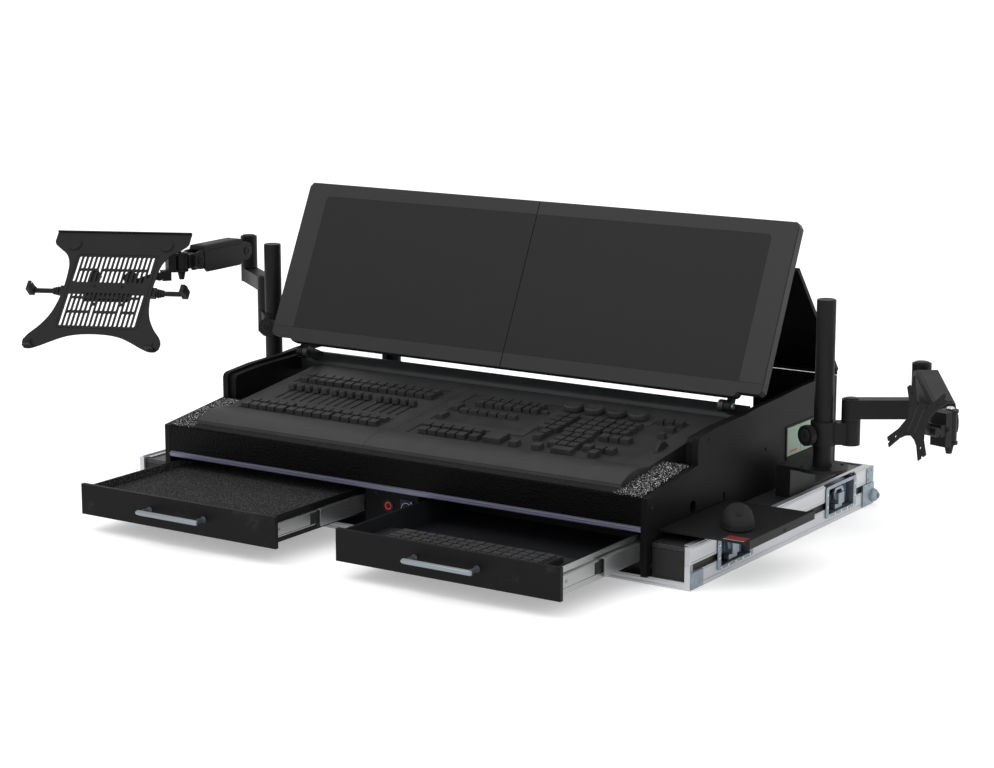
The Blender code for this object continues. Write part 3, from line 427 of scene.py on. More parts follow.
low = Shape("case_lower_edge", "base", bevel=0.5)
low.skin("bottom_extrusion", "alu", [("zinc", fitting), ("alu_x", lambda c, n: abs(c.y) > 340)])
for sign in (-1, 1):
    for z, spans in ((7.0, [(-304, 303)]), (27.2, [(-304, -257), (-129, 149), (276, 303)])):
        for y0, y1 in spans:
            low.rod("alu", (sign * 590.0, y0, z), (sign * 590.0, y1, z), 1.0, 0.3, 10)
    # rivets of the corner plates
    for y, z in ((-339, 24), (-318, 24), (-339, 9), (-318, 9)):
        low.rivet("zinc", (sign * 592.2, y, z), (sign, 0, 0))
    for y, z in ((312, 38), (312, 8), (330, 38)):
        low.rivet("zinc", (sign * 592.5, y, z), (sign, 0, 0))
    for x, z in ((552, 38), (552, 8), (572, 38)):
        low.rivet("zinc", (sign * x, 350.5, z), (0, 1, 0))
    # darker zinc disc in the corner fitting: painted shade of its recess
    low.lathe("zinc_painted_shade", (sign * 603.4, 348.6, 17), (sign, 0, 0), [(0, 0.4), (4.2, 0.4), (5, 0.1), (5, -0.8), (0, -0.8)], 20)
for z in (4.0, 10.4):
    low.rod("alu_x", (-578, -348.0, z), (578, -348.0, z), 0.8, 0.3, 10)
for x in (-470, -330, -190, -50, 50, 190, 330, 470):
    low.rivet("alu_x", (x, 348.0, 15), (0, 1, 0))
low.rod("alu_x", (-540, 348.0, 7), (540, 348.0, 7), 0.9, 0.3, 10)
low.rod("alu_x", (-540, 348.0, 25), (540, 348.0, 25), 0.9, 0.3, 10)
low.done("bottom_extrusion")

top = Shape("case_upper_edge", "base", bevel=0.5)
top.skin("top_extrusion", "alu", [("alu_x", lambda c, n: abs(c.y) > 340)])
cad_lo, cad_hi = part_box("top_extrusion")
case_x, case_y = cad_hi.x / MM, cad_hi.y / MM
for sign in (-1, 1):
    for z in (46.6, 70.2):
        for y0, y1 in ((-343, -257), (-129, 149), (276, 320)):
            top.rod("alu", (sign * case_x, y0, z), (sign * case_x, y1, z), 0.9, 0.3, 10)
    # raised hinge-side lip that the lid lands on
    for y0, y1 in ((-343, -257), (-129, 149), (276, 320)):
        top.box("alu", (min(sign * 583, sign * 588), y0, 72.6), (max(sign * 583, sign * 588), y1, 75.2), taper=(0.8, 0))
    # rear corner brace
    top.box("zinc", (min(sign * case_x, sign * (case_x + 1.6)), 321, 43.8), (max(sign * case_x, sign * (case_x + 1.6)), case_y + 1.4, 72.8))
    top.box("zinc", (min(sign * 556, sign * (case_x + 1.2)), case_y, 43.8), (max(sign * 556, sign * (case_x + 1.2)), case_y + 1.5, 72.8))
    for y, z in ((327, 66), (327, 50), (341, 66)):
        top.rivet("zinc", (sign * (case_x + 1.6), y, z), (sign, 0, 0))
    for x, z in ((563, 66), (563, 50), (580, 66)):
        top.rivet("zinc", (sign * x, case_y + 1.5, z), (0, 1, 0))
for x in (-480, -340, -200, -60, 60, 200, 340, 480):
    top.rivet("alu_x", (x, case_y, 58), (0, 1, 0))
top.done("top_extrusion")

for sign, side in ((-1, "left"), (1, "right")):
    for place, y0, y1 in (("front", -256, -130), ("rear", 150, 275)):
        s = Shape("latch_" + side + "_" + place, "base", bevel=0.4)
        # the faces inside the dish take the darker zinc: painted shade of the recess
        s.skin("latch_dish_" + side + "_" + place, "zinc",
               [("zinc_painted_shade", lambda c, n: abs(c.x) < 576.5 and not (abs(n.x) < 0.5 and abs(c.z - 42) < 3 and abs(c.x) > 575))])
        mid = (y0 + y1) / 2
        for i in range(5):
            s.rivet("chrome", (sign * 592.2, y0 + 12 + i * (y1 - y0 - 24) / 4, 15.9), (sign, 0, 0), 2.4)
        for y in (y0 + 5.6, y1 - 5.6):
            for z in (34, 56):
                s.rivet("chrome", (sign * 592.2, y, z), (sign, 0, 0), 2.4)
        # folded butterfly grip standing on the turning disc, with its keeper plate below
        x0, x1 = sorted((sign * 583.2, sign * 589.4))
        loop = [(-17, -3), (-20, 8), (-14, 16), (14, 16), (20, 8), (17, -3), (9, -9), (-9, -9)]
        hole = [(-10, -1), (-12, 7), (-9, 11), (9, 11), (12, 7), (10, -1), (5, -4), (-5, -4)]
        lay = Matrix(((0, 0, 1, 0), (1, 0, 0, mid), (0, 1, 0, 44), (0, 0, 0, 1)))
        s.prism("zinc", loop, x0, x1 - 2.5 if sign > 0 else x1, lay, holes=[hole])
        s.box("zinc", (min(sign * 577, sign * 587), mid - 15, 20.5), (max(sign * 577, sign * 587), mid + 15, 29.5))
        # darker zinc blocks in the dish: painted shade
        for y in (mid - 36, mid + 36):
            s.box("zinc_painted_shade", (min(sign * 566, sign * 581), y - 5, 21), (max(sign * 566, sign * 581), y + 5, 62))
        s.done("latch_dish_" + side + "_" + place)

# ------------------------------------------------------------ console housing

for sign, side in ((-1, "left"), (1, "right")):
    s = Shape("cheek_board_" + side, "base", bevel=0.9)
    s.skin("cheek_" + side, "board")
    face = sign * 515.7
    for y, z in ((-345, 32), (-345, 128), (-150, 206), (60, 150), (318, 90), (318, 225), (-60, 60), (180, 60)):
        if sign < 0 or not (130 < y < 250 and z > 110):
            s.screw("powder", (face, y, z), (sign, 0, 0), 3.4, 1.3)
    s.done("cheek_" + side)

# a pale two-tile block on the right cheek, no lettering
s = Shape("cheek_tiles", "base", bevel=0.4)
s.box("rubber", (515.4, 135, 114.5), (517.0, 245, 176))
s.box("tile", (516.6, 138, 121), (518.4, 189.4, 173))
s.box("tile", (516.6, 190.6, 121), (518.4, 242, 173))
for y in (163.7, 216.3):
    s.prism("red", [(y - 13, 127), (y + 13, 127), (y + 13, 130.4), (y - 13, 130.4)], 518.3, 518.9,
            Matrix(((0, 0, 1, 0), (1, 0, 0, 0), (0, 1, 0, 0), (0, 0, 0, 1))))
s.box("rubber", (516.8, 136, 115), (518.6, 244, 119.6))
s.done()

s = Shape("anodised_front_strip", "base", bevel=0.5)
s.skin("front_strip", "strip")
for z in (91.6, 95.2):
    s.rod("strip", (-503, -361.4, z), (503, -361.4, z), 0.7, 0.2, 10)
s.done("front_strip")

s = Shape("crackle_fascia", "base", bevel=1.2)
s.skin("fascia", "crackle")
s.done("fascia")

s = Shape("foam_bed", "base", bevel=1.0)
s.skin("foam_surround", "foam")
s.done("foam_surround", soft=1.0)

s = Shape("centre_post", "base", bevel=0.6)
s.skin("centre_column", "board", [("blue", lambda c, n: (Vector((c.x, c.z)) - Vector((27.5, 59.5))).length < 5.2 and c.y < -343)])
s.prism("rubber", rounded(14.4, 40.6, 44.4, 74.6, 2.5), 350.2, 351.4,
        Matrix(((1, 0, 0, 0), (0, 0, -1, 0), (0, 1, 0, 0), (0, 0, 0, 1))), holes=[circle(27.5, 59.5, 11.6, 28)])
s.lathe("satin", (27.5, -351.2, 59.5), (0, -1, 0), [(11.4, 0), (11.4, 0.9), (9.8, 0.9), (9.6, -0.3), (11.4, 0)], 32)
s.box("rubber", (21, -352.3, 53), (34, -350.6, 66))
s.box("satin", (22.2, -352.8, 56.6), (32.8, -351, 62.6))
s.box("blue", (23.2, -353.1, 58.2), (31.8, -351.4, 60.6))
for x, z in ((17.2, 47.4), (37.8, 71.6)):
    s.screw("satin", (x, -351.3, z), (0, -1, 0), 1.9, 0.8)
s.lathe("powder", (-13, -348.0, 59.5), (0, -1, 0), [(8.3, 0), (11.6, 0), (11.2, 1.8), (8.8, 2.4), (8.3, 1.6), (8.3, 0)], 32)
for z in (24, 80):
    s.screw("powder", (-40, -348.0, z), (0, -1, 0), 3.0, 1.2)
s.done("centre_column")

s = Shape("lit_button", "power_button", bevel=0.3)
s.skin("power_button", "powder")
s.lathe("red", (-13, -349.5, 59.5), (0, -1, 0), [(4.6, 0), (7.4, 0), (7.2, 0.5), (4.9, 0.5), (4.6, 0)], 32)
s.lathe("rubber", (-13, -349.5, 59.5), (0, -1, 0), [(0, 0), (4.2, 0), (4.0, 0.35), (0, 0.5)], 24)
s.done("power_button")

s = Shape("rear_wall", "base", bevel=0.8)
s.skin("rear_panel", "board")
for x in (-500, -250, 0, 250, 500):
    for z in (84, 226):
        s.screw("powder", (x, 342.8, z), (0, 1, 0), 3.6, 1.3)
s.done("rear_panel")

# ------------------------------------------------------------ console decks

for side in ("left", "right"):
    s = Shape("deck_shell_" + side, "base", bevel=0.9, smooth=40)
    s.skin("console_" + side, "deck")
    s.done("console_" + side)

LEGEND = Shape("deck_trim", "base", bevel=0.0)
GROUPS = (((-407, -310), 5), ((-306, -211), 5), ((-202, -108), 5))
fader_x = []
for (x0, x1), count in GROUPS:
    fader_x.append([x0 + (i + 0.5) * (x1 - x0) / count for i in range(count)])
# thin rims round the fader slots and hairline grooves across the palm rest
for row in fader_x:
    for x in row:
        LEGEND.prism("plate", rounded(x - 2.6, x + 2.6, 157.5, 224.5, 2.4, 4), 0.02, 0.35, DECK,
                     holes=[rounded(x - 1.8, x + 1.8, 159.2, 222.8, 1.6, 3)])
        for k in range(7):
            s0 = 163 + k * 9
            LEGEND.box("plate", (x + 3.6, s0, 0), (x + 5.4, s0 + 0.5, 0.2), DECK)
for x0, x1 in ((-424, -100), (-30, 410)):
    LEGEND.box("plate", (x0, 86.8, -0.2), (x1, 87.2, 0.12), DECK)
LEGEND.done()


def caps(shape, x0, x1, rows, depth, count, height=6.0, crown=True):
    pitch = (x1 - x0) / count
    for s0 in rows:
        for i in range(count):
            left = x0 + i * pitch + 1.2
            right = left + pitch - 2.4
            a, b = s0 - depth / 2, s0 + depth / 2
            shape.box("cap", (left, a, -2.9), (right, b, height - 0.1), DECK, taper=(0.9, 1.1))
            # a shallow legend window on each cap, left blank
            if right - left > 14:
                shape.box("plate", (left + 3.2, b - 5.2, height - 0.3), (right - 3.2, b - 2.9, height - 0.02), DECK)


def plate(shape, x0, x1, s0, s1):
    shape.box("plate", (x0 + 0.4, s0 + 0.4, -5.9), (x1 - 0.4, s1 - 0.4, -1.1), DECK)


s = Shape("key_bank_left_upper", "keys_left_upper", bevel=0.7)
plate(s, -427, -99, 254, 314)
for x0, x1 in ((-417, -314), (-312, -210), (-208, -106)):
    caps(s, x0, x1, (267, 289), 18, 5, 8.0)
s.done("keys_left_upper")

s = Shape("key_bank_left_lower", "keys_left_lower", bevel=0.7)
plate(s, -432, -107, 86, 140)
for x0, x1 in ((-428, -326), (-322, -220), (-216, -114)):
    caps(s, x0, x1, (101,), 18, 5, 8.0)
    caps(s, x0 + 4, x1 + 4, (125,), 16, 5, 7.0)
s.done("keys_left_lower")

s = Shape("key_bank_right_upper", "keys_right_upper", bevel=0.7)
plate(s, -46, 148, 164, 314)
caps(s, -10, 92, (266, 288), 18, 5, 8.0)
caps(s, 94, 126, (266, 288), 18, 2, 8.0)
caps(s, 128, 145, (268,), 10, 1, 5.0)
caps(s, -18, 107, (222,), 14, 6, 6.5)
caps(s, -41, -23, (236,), 26, 1, 7.0)
caps(s, -41, -23, (186,), 26, 1, 7.0)
s.done("keys_right_upper")

s = Shape("key_bank_right_lower", "keys_right_lower", bevel=0.7)
stepped = [(-43.6, 82.4), (411.6, 82.4), (411.6, 309.6), (347.4, 309.6), (347.4, 273.6), (166.4, 273.6), (166.4, 145.6), (-43.6, 145.6)]
s.prism("plate", stepped, -5.9, -1.1, DECK)
for x0, x1, rows, depth, count in (
        (-22, 80, (99,), 18, 5), (85, 105, (102,), 18, 1), (-33, 99, (125,), 16, 6), (112, 152, (113,), 36, 1),
        (168, 188, (101,), 18, 1), (172, 216, (190, 212, 234, 256), 18, 2), (190, 210, (146, 168), 18, 1),
        (226, 291, (190, 212, 234, 256), 18, 3), (234, 296, (124, 146, 168), 18, 3), (216, 236, (101,), 18, 1),
        (256, 300, (99,), 18, 1), (294, 345, (212, 234, 256), 18, 3), (302, 366, (184,), 18, 3),
        (303, 323, (128,), 18, 1), (328, 348, (104,), 18, 1), (328, 368, (128,), 18, 2), (350, 409, (296,), 16, 3),
        (388, 408, (264,), 16, 1), (392, 408, (230,), 12, 1)):
    caps(s, x0, x1, rows, depth, count, 8.5)
s.done("keys_right_lower")

for row, name in zip(fader_x, "abc"):
    s = Shape("fader_caps_" + name, "faders_" + name, bevel=0.5)
    for x in row:
        s.box("cap", (x - 0.8, 210.8, -6), (x + 0.8, 217.2, 3), DECK)
        s.box("cap", (x - 6.4, 207.6, 1.6), (x + 6.4, 213.4, 11), DECK, taper=(0.8, 1.3))
        s.box("cap", (x - 6.4, 215.0, 1.6), (x + 6.4, 220.9, 11), DECK, taper=(0.8, 1.3))
        s.box("plate", (x - 5.9, 212.5, 1.8), (x + 5.9, 216.0, 8.0), DECK)
    s.done("faders_" + name)

for number, x in enumerate((177, 221, 267, 312)):
    s = Shape("jog_disc_" + str(number + 1), "encoder_" + str(number + 1), bevel=0.3, smooth=30)
    s.lathe("plate", (x, 301, 0.6), (0, 0, 1), [(0, 0), (17.6, 0), (17.6, 1.2), (16.9, 1.4)], 48, DECK)
    ring = [(0, 1.0), (17.2, 1.4), (17.9, 2.0), (17.9, 10.2), (17.3, 11.6), (16.2, 12.3), (11, 12.0), (4, 11.7), (0, 11.6)]
    s.lathe("cap", (x, 301, 0.6), (0, 0, 1), ring, 48, DECK)
    for k in range(36):
        a = 2 * math.pi * k / 36
        c, d = math.cos(a), math.sin(a)
        s.rod("cap", (x + 17.7 * c, 301 + 17.7 * d, 3.2), (x + 17.7 * c, 301 + 17.7 * d, 10.4), 0.45, 0.1, 6, DECK)
    s.lathe("plate", (x, 311, 12.2), (0, 0, 1), [(0, 0.1), (3.6, 0.35), (5.0, 0.8), (5.6, 0.75), (5.9, 0.1), (0, 0.1)], 24, DECK)
    s.done("encoder_" + str(number + 1))

s = Shape("thumb_wheel", "level_wheel", bevel=0.3)
s.lathe("cap", (426.1, 176, -7), (1, 0, 0), [(0, 0), (19.4, 0), (20.8, 1.0), (20.8, 4.8), (19.4, 5.8), (0, 5.8)], 60, DECK)
for k in range(56):
    a = 2 * math.pi * k / 56
    y, z = 176 + 20.6 * math.cos(a), -7 + 20.6 * math.sin(a)
    s.rod("rubber", (426.9, y, z), (431.3, y, z), 0.45, 0.1, 6, DECK)
s.done("level_wheel")

s = Shape("tilt_rail", "base", bevel=0.7)
s.skin("console_rail", "rail")
for x in (-420, -280, -140, 0, 140, 280, 420):
    s.screw("powder", (x, 50, 212), (0, 1, 0), 3.2, 1.2)
s.done("console_rail")

# ------------------------------------------------------------ screens

for sign, side in ((-1, "left"), (1, "right")):
    def flip(pts):
        return [(sign * x, y) for x, y in pts]
    s = Shape("screen_" + side, "monitors", bevel=0.8)
    g = Shape("screen_glass_" + side, "monitors", bevel=0.0, smooth=1.0)
    outline = [(0.5, -28.6), (486, -28.6), (490, -25), (492, -20.4), (534, -20.4), (539.6, -14), (539.6, 288), (533, 296.6), (0.5, 296.6)]
    s.prism("shell", flip(outline), -20, -1.2, SCREEN)
    # chin, lit border and active area share one flush face
    s.prism("shell", flip([(0.9, -28), (485.6, -28), (489.6, -24.6), (491.6, -19.8), (533.6, -19.8), (539, -13.6), (539, -0.7), (0.9, -0.7)]), -1.4, -0.2, SCREEN)
    active = [(0.9, 0.2), (490.6, 0.2)] + [(490.6 - 9 + 9 * math.cos(a), 261 + 9 * math.sin(a)) for a in [math.pi / 2 * i / 6 for i in range(7)]] + [(0.9, 270)]
    edge = [(0.9, -0.3), (538.6, -0.3), (538.6, 287.6), (532.6, 295.8), (0.9, 295.8)]
    gap = [(1.3, 0.1), (490.8, 0.1)] + [(490.8 - 9 + 9 * math.cos(a), 261.2 + 9 * math.sin(a)) for a in [math.pi / 2 * i / 6 for i in range(7)]] + [(1.3, 270.2)]
    g.prism("bezel", flip(edge), -1.4, 0.0, SCREEN, holes=[flip(gap)])
    g.prism("glass", flip(active), -1.4, -0.12, SCREEN)
    # vents, cover seam and screws on the back
    # the vents are dark rubber patches: painted shade in place of open slots
    for row in range(3):
        for i in range(26):
            x = 330 + i * 6.4
            s.prism("rubber", flip(rounded(x, x + 2.6, 214 + row * 20, 230 + row * 20, 1.2, 3)), -20.35, -19.9, SCREEN)
    s.prism("powder", flip(rounded(60, 480, 12, 200, 8)), -20.3, -19.9, SCREEN, holes=[flip(rounded(62, 478, 14, 198, 7))])
    for x, y in ((70, 22), (470, 22), (70, 190), (470, 190)):
        s.screw("powder", (sign * x, y, -20), (0, 0, -1), 3.2, 1.2, SCREEN)
    s.done("monitor_" + side)
    g.done()

s = Shape("screen_carrier", "monitors", bevel=0.6)
s.skin("monitor_frame", "powder")
for sign in (-1, 1):
    for x in (215, 285):
        for y in (80, 180):
            s.screw("satin", (sign * x, y, -25.5), (0, 0, -1), 4.0, 1.8, SCREEN)
    s.lathe("satin", (sign * 478.1, -0.6, 232.6), (sign, 0, 0), [(0, 0), (6, 0), (6, 2.2), (4.6, 3.4), (0, 3.4)], 24)
s.done("monitor_frame")

s = Shape("flap_board", "rear_flap", bevel=0.8)
s.skin("rear_flap", "board")
for i in range(18):
    y = -490 + i * 980 / 17
    s.screw("satin", (12, y, 10), (0, 0, 1), 3.0, 1.0, FLAP)
for i in range(32):
    y = -508 + i * 31.5
    s.rod("powder", (0, y, 0), (0, y + 30, 0), 3.55, 0.5, 16, FLAP)
s.box("satin", (16, 330, 9.9), (46, 336, 13.0), FLAP)
s.box("satin", (16, -336, 9.9), (46, -330, 13.0), FLAP)
s.done("rear_flap")

# ------------------------------------------------------------ drawers

for sign, side in ((-1, "left"), (1, "right")):
    near = 67.3 if sign > 0 else 80.3
    s = Shape("drawer_box_" + side, "drawer_" + side, bevel=0.7)

    def member(c, n, near=near, sign=sign):
        return c.y > -595.7 and 43.9 < c.z < 69.6 and (sign * c.x > 491.25 or sign * c.x < near - 0.05)
    s.skin("drawer_" + side, "front", [("slide", member)])
    key = "felt" if sign < 0 else "liner"

    def sp(a, b, sign=sign):
        return sorted((sign * a, sign * b))
    a0, a1 = sp(near + 3.0, 488.3)
    if sign < 0:
        s.box(key, (a0, -592.9, 65.9), (a1, -235.1, 67.4))
    else:
        s.box(key, (a0, -459.9, 37.9), (a1, -235.1, 39.2))
        s.box(key, (a0, -592.9, 56.9), (a1, -460.5, 58.0))
    low_z = 66.5 if sign < 0 else 38.5
    for x in (a0, a1 - 0.9):
        s.box(key, (x, -592.9, low_z), (x + 0.9, -235.1, 81.4))
    s.box(key, (a0, -236.1, low_z), (a1, -235.2, 81.4))
    s.box(key, (a0, -592.9, max(low_z, 58)), (a1, -592.0, 81.4))
    if sign < 0:
        s.lathe("rubber", (-425, -300, 67.3), (0, 0, 1), [(0, 0.1), (5, 0.1), (5.6, 0.35), (4.2, 0.6), (0, 0.3)], 20)
    # ribs, screws and the stop of the drawer members
    for x, out in ((sign * 495.0, sign), (sign * (near - 3.6), -sign)):
        for z in (46.2, 67.4):
            s.rod("slide", (x, -594, z), (x, -242, z), 0.9, 0.2, 8)
        for y in (-576, -400, -262):
            s.screw("satin", (x, y, 56.8), (out, 0, 0), 3.0, 0.9)
        s.prism("rubber", [(-490, 46.8), (-478, 46.8), (-474, 56.8), (-478, 66.8), (-490, 66.8)], *sorted((x, x + out * 0.25)),
                Matrix(((0, 0, 1, 0), (1, 0, 0, 0), (0, 1, 0, 0), (0, 0, 0, 1))))
    s.done("drawer_" + side)

    s = Shape("slide_members_" + side, "slides_" + side, bevel=0.35)
    s.skin("slide_outer_" + side, "slide")
    s.skin("slide_inner_" + side, "slide")
    s.done("slide_outer_" + side, "slide_inner_" + side)

    mid = 284.0 if sign > 0 else -281.5
    s = Shape("pull_" + side, "drawer_" + side, bevel=0.0, smooth=50)
    # ribbed bow: a flattened oval bar with three flutes, turned into its feet
    section = []
    for i in range(24):
        a = 2 * math.pi * i / 24
        r = 5.0 - 0.45 * (1 if i % 4 == 0 else 0)
        section.append((r * 1.0 * math.cos(a), r * 0.95 * math.sin(a)))
    rings, verts, faces = [], [], []
    path = [(-69, 0.55), (-67, 0.85), (-63, 1.0), (63, 1.0), (67, 0.85), (69, 0.55)]
    for px, k in path:
        rings.append(len(verts))
        verts += [(mid + px, -628.3 + u * k, 60 + v * k) for u, v in section]
    for lo_i, hi_i in zip(rings, rings[1:]):
        faces += [(lo_i + i, lo_i + (i + 1) % 24, hi_i + (i + 1) % 24, hi_i + i) for i in range(24)]
    faces += [tuple(range(23, -1, -1)), tuple(rings[-1] + i for i in range(24))]
    s.add("satin", verts, faces)
    for x in (mid - 61, mid + 61):
        s.lathe("satin", (x, -627, 60), (0, 1, 0), [(0, 0), (4.1, 0), (4.1, 16), (4.6, 20), (6.2, 23.2), (6.2, 23.4), (0, 23.4)], 24)
    s.done("handle_" + side)

s = Shape("compact_keyboard", "drawer_right", bevel=0.6)
s.prism("rubber", rounded(125.2, 436.8, -589.8, -486.2, 6), 57.5, 66.0)
s.prism("shell", rounded(126.6, 435.4, -588.4, -487.6, 5), 65.8, 68.4)
for row in range(5):
    y = -585 + row * 17.4
    x, i = 130.0, 0
    widths = ([22, 22, 22, 112, 22, 22, 26, 18, 18, 18] if row == 0 else [19.0 + (3 * row if i == 0 else 0) for i in range(15)])
    total = sum(widths)
    for w in widths:
        w = w * 302.0 / total
        s.box("cap", (x + 0.9, y, 68.0), (x + w - 0.9, y + 15.2, 73.6), taper=(1.2, 1.4))
        x += w
for i in range(9):
    s.box("orange", (150 + i * 30, -494.6, 68.2), (156 + i * 30, -493.4, 68.7))
s.done("keyboard")

# ------------------------------------------------------------ mouse tray and mouse

s = Shape("mouse_shelf", "mouse_tray", bevel=0.7)
s.skin("mouse_tray", "powder")
s.box("label", (632, -311, 87.9), (675.4, -292, 88.35))
for i in range(9):
    s.box("white", (632 + i * 4.4, -315.6, 87.9), (635.2 + i * 4.4, -313.6, 88.3))
for y in (-300, -200, -100):
    s.screw("powder", (450, y, 88), (0, 0, 1), 3.0, 1.0)
s.box("rubber", (681.6, -196, 79.5), (682.5, -188, 84.5))
s.done("mouse_tray")

s = Shape("pointer", "mouse_tray", bevel=0.0, smooth=60)
at = frame_at((612, -226, 88.4), (0.5, -0.86, 0), (0, 0, 1))
verts, faces, rings = [], [], []
SEGS = 56
for j, h in enumerate((0.0, 0.03, 0.09, 0.16, 0.165, 0.18, 0.3, 0.45, 0.6, 0.72, 0.82, 0.9, 0.95, 0.98, 0.993, 0.999)):
    k = (1 - h ** 2.8) ** 0.42 * (0.94 if j == 0 else 0.985 if j in (3, 4) else 1.0)
    ring = []
    for i in range(SEGS):
        a = 2 * math.pi * i / SEGS
        c, d = math.cos(a), math.sin(a)
        ex = 49.0 * abs(c) ** 0.85 * (1 if c > 0 else -1)
        wy = 28.6 * abs(d) ** 0.8 * (1 if d > 0 else -1) * (1 - 0.10 * c * c)
        waist = 1 - 0.05 * math.sin(math.pi * h)
        rise = 33.4 * h * (1 - 0.17 * h * (0.4 + ex * k / 49.0))
        ring.append(len(verts))
        verts.append((ex * k, wy * k * waist, 0.1 + rise))
    rings.append(ring)
faces.append(tuple(reversed(rings[0])))
for lo_r, hi_r in zip(rings, rings[1:]):
    for i in range(SEGS):
        faces.append((lo_r[i], lo_r[(i + 1) % SEGS], hi_r[(i + 1) % SEGS], hi_r[i]))
top_mid = len(verts)
verts.append((0, 0, 0.1 + 33.4 * (1 - 0.17 * 0.4)))
faces += [(rings[-1][i], rings[-1][(i + 1) % SEGS], top_mid) for i in range(SEGS)]
s.add("rubber", verts, faces, at)
s.lathe("powder", (27, -3.4, 22.6), (0, 1, 0), [(0, 0), (6.6, 0), (7.6, 1.2), (7.6, 5.6), (6.6, 6.8), (0, 6.8)], 28, at)
s.done("mouse")

# ------------------------------------------------------------ poles and arms

for sign, side in ((-1, "left"), (1, "right")):
    s = Shape("pole_stand_" + side, "base", bevel=0.5, smooth=32)
    s.skin("pole_" + side, "powder")
    s.lathe("powder", (sign * 612, 88, 421.5), (0, 0, 1), [(0, 0), (16.6, 0), (16.6, 0.9), (15.6, 1.8), (12.5, 1.8), (12.2, 1.3), (0, 1.2)], 40)
    for a in (45, 135, 225, 315):
        s.screw("powder", (sign * 612 + 37 * math.cos(math.radians(a)), 88 + 37 * math.sin(math.radians(a)), 127), (0, 0, 1), 3.6, 1.6)
    low_z, high_z = (238, 283) if sign < 0 else (165, 208)
    d = Vector((-sign * 0.35, -0.94, 0)).normalized()
    zc = (low_z + high_z) / 2
    tip = Vector((sign * 612, 88, zc)) + d * 44
    s.lathe("rubber", tip, d, [(0, 0), (12, 0), (10.5, 1.0), (6.4, 1.2), (5.8, 0.3), (0, 0.3)], 30)
    s.screw("powder", tuple(tip), tuple(d), 3.6, 1.6)
    for k in range(20):
        a = 2 * math.pi * k / 20
        side_v = d.cross(Vector((0, 0, 1)))
        p = Vector((sign * 612, 88, zc)) + side_v * (17.7 * math.cos(a)) + Vector((0, 0, 17.7 * math.sin(a)))
        s.rod("powder", tuple(p + d * 33), tuple(p + d * 43), 0.9, 0.2, 8)
    for z in (low_z + 9, high_z - 9):
        s.screw("powder", (sign * 634.2, 88 + 20.5, z), (sign * 0.2, 1, 0), 3.0, 1.4)
    s.done("pole_" + side)

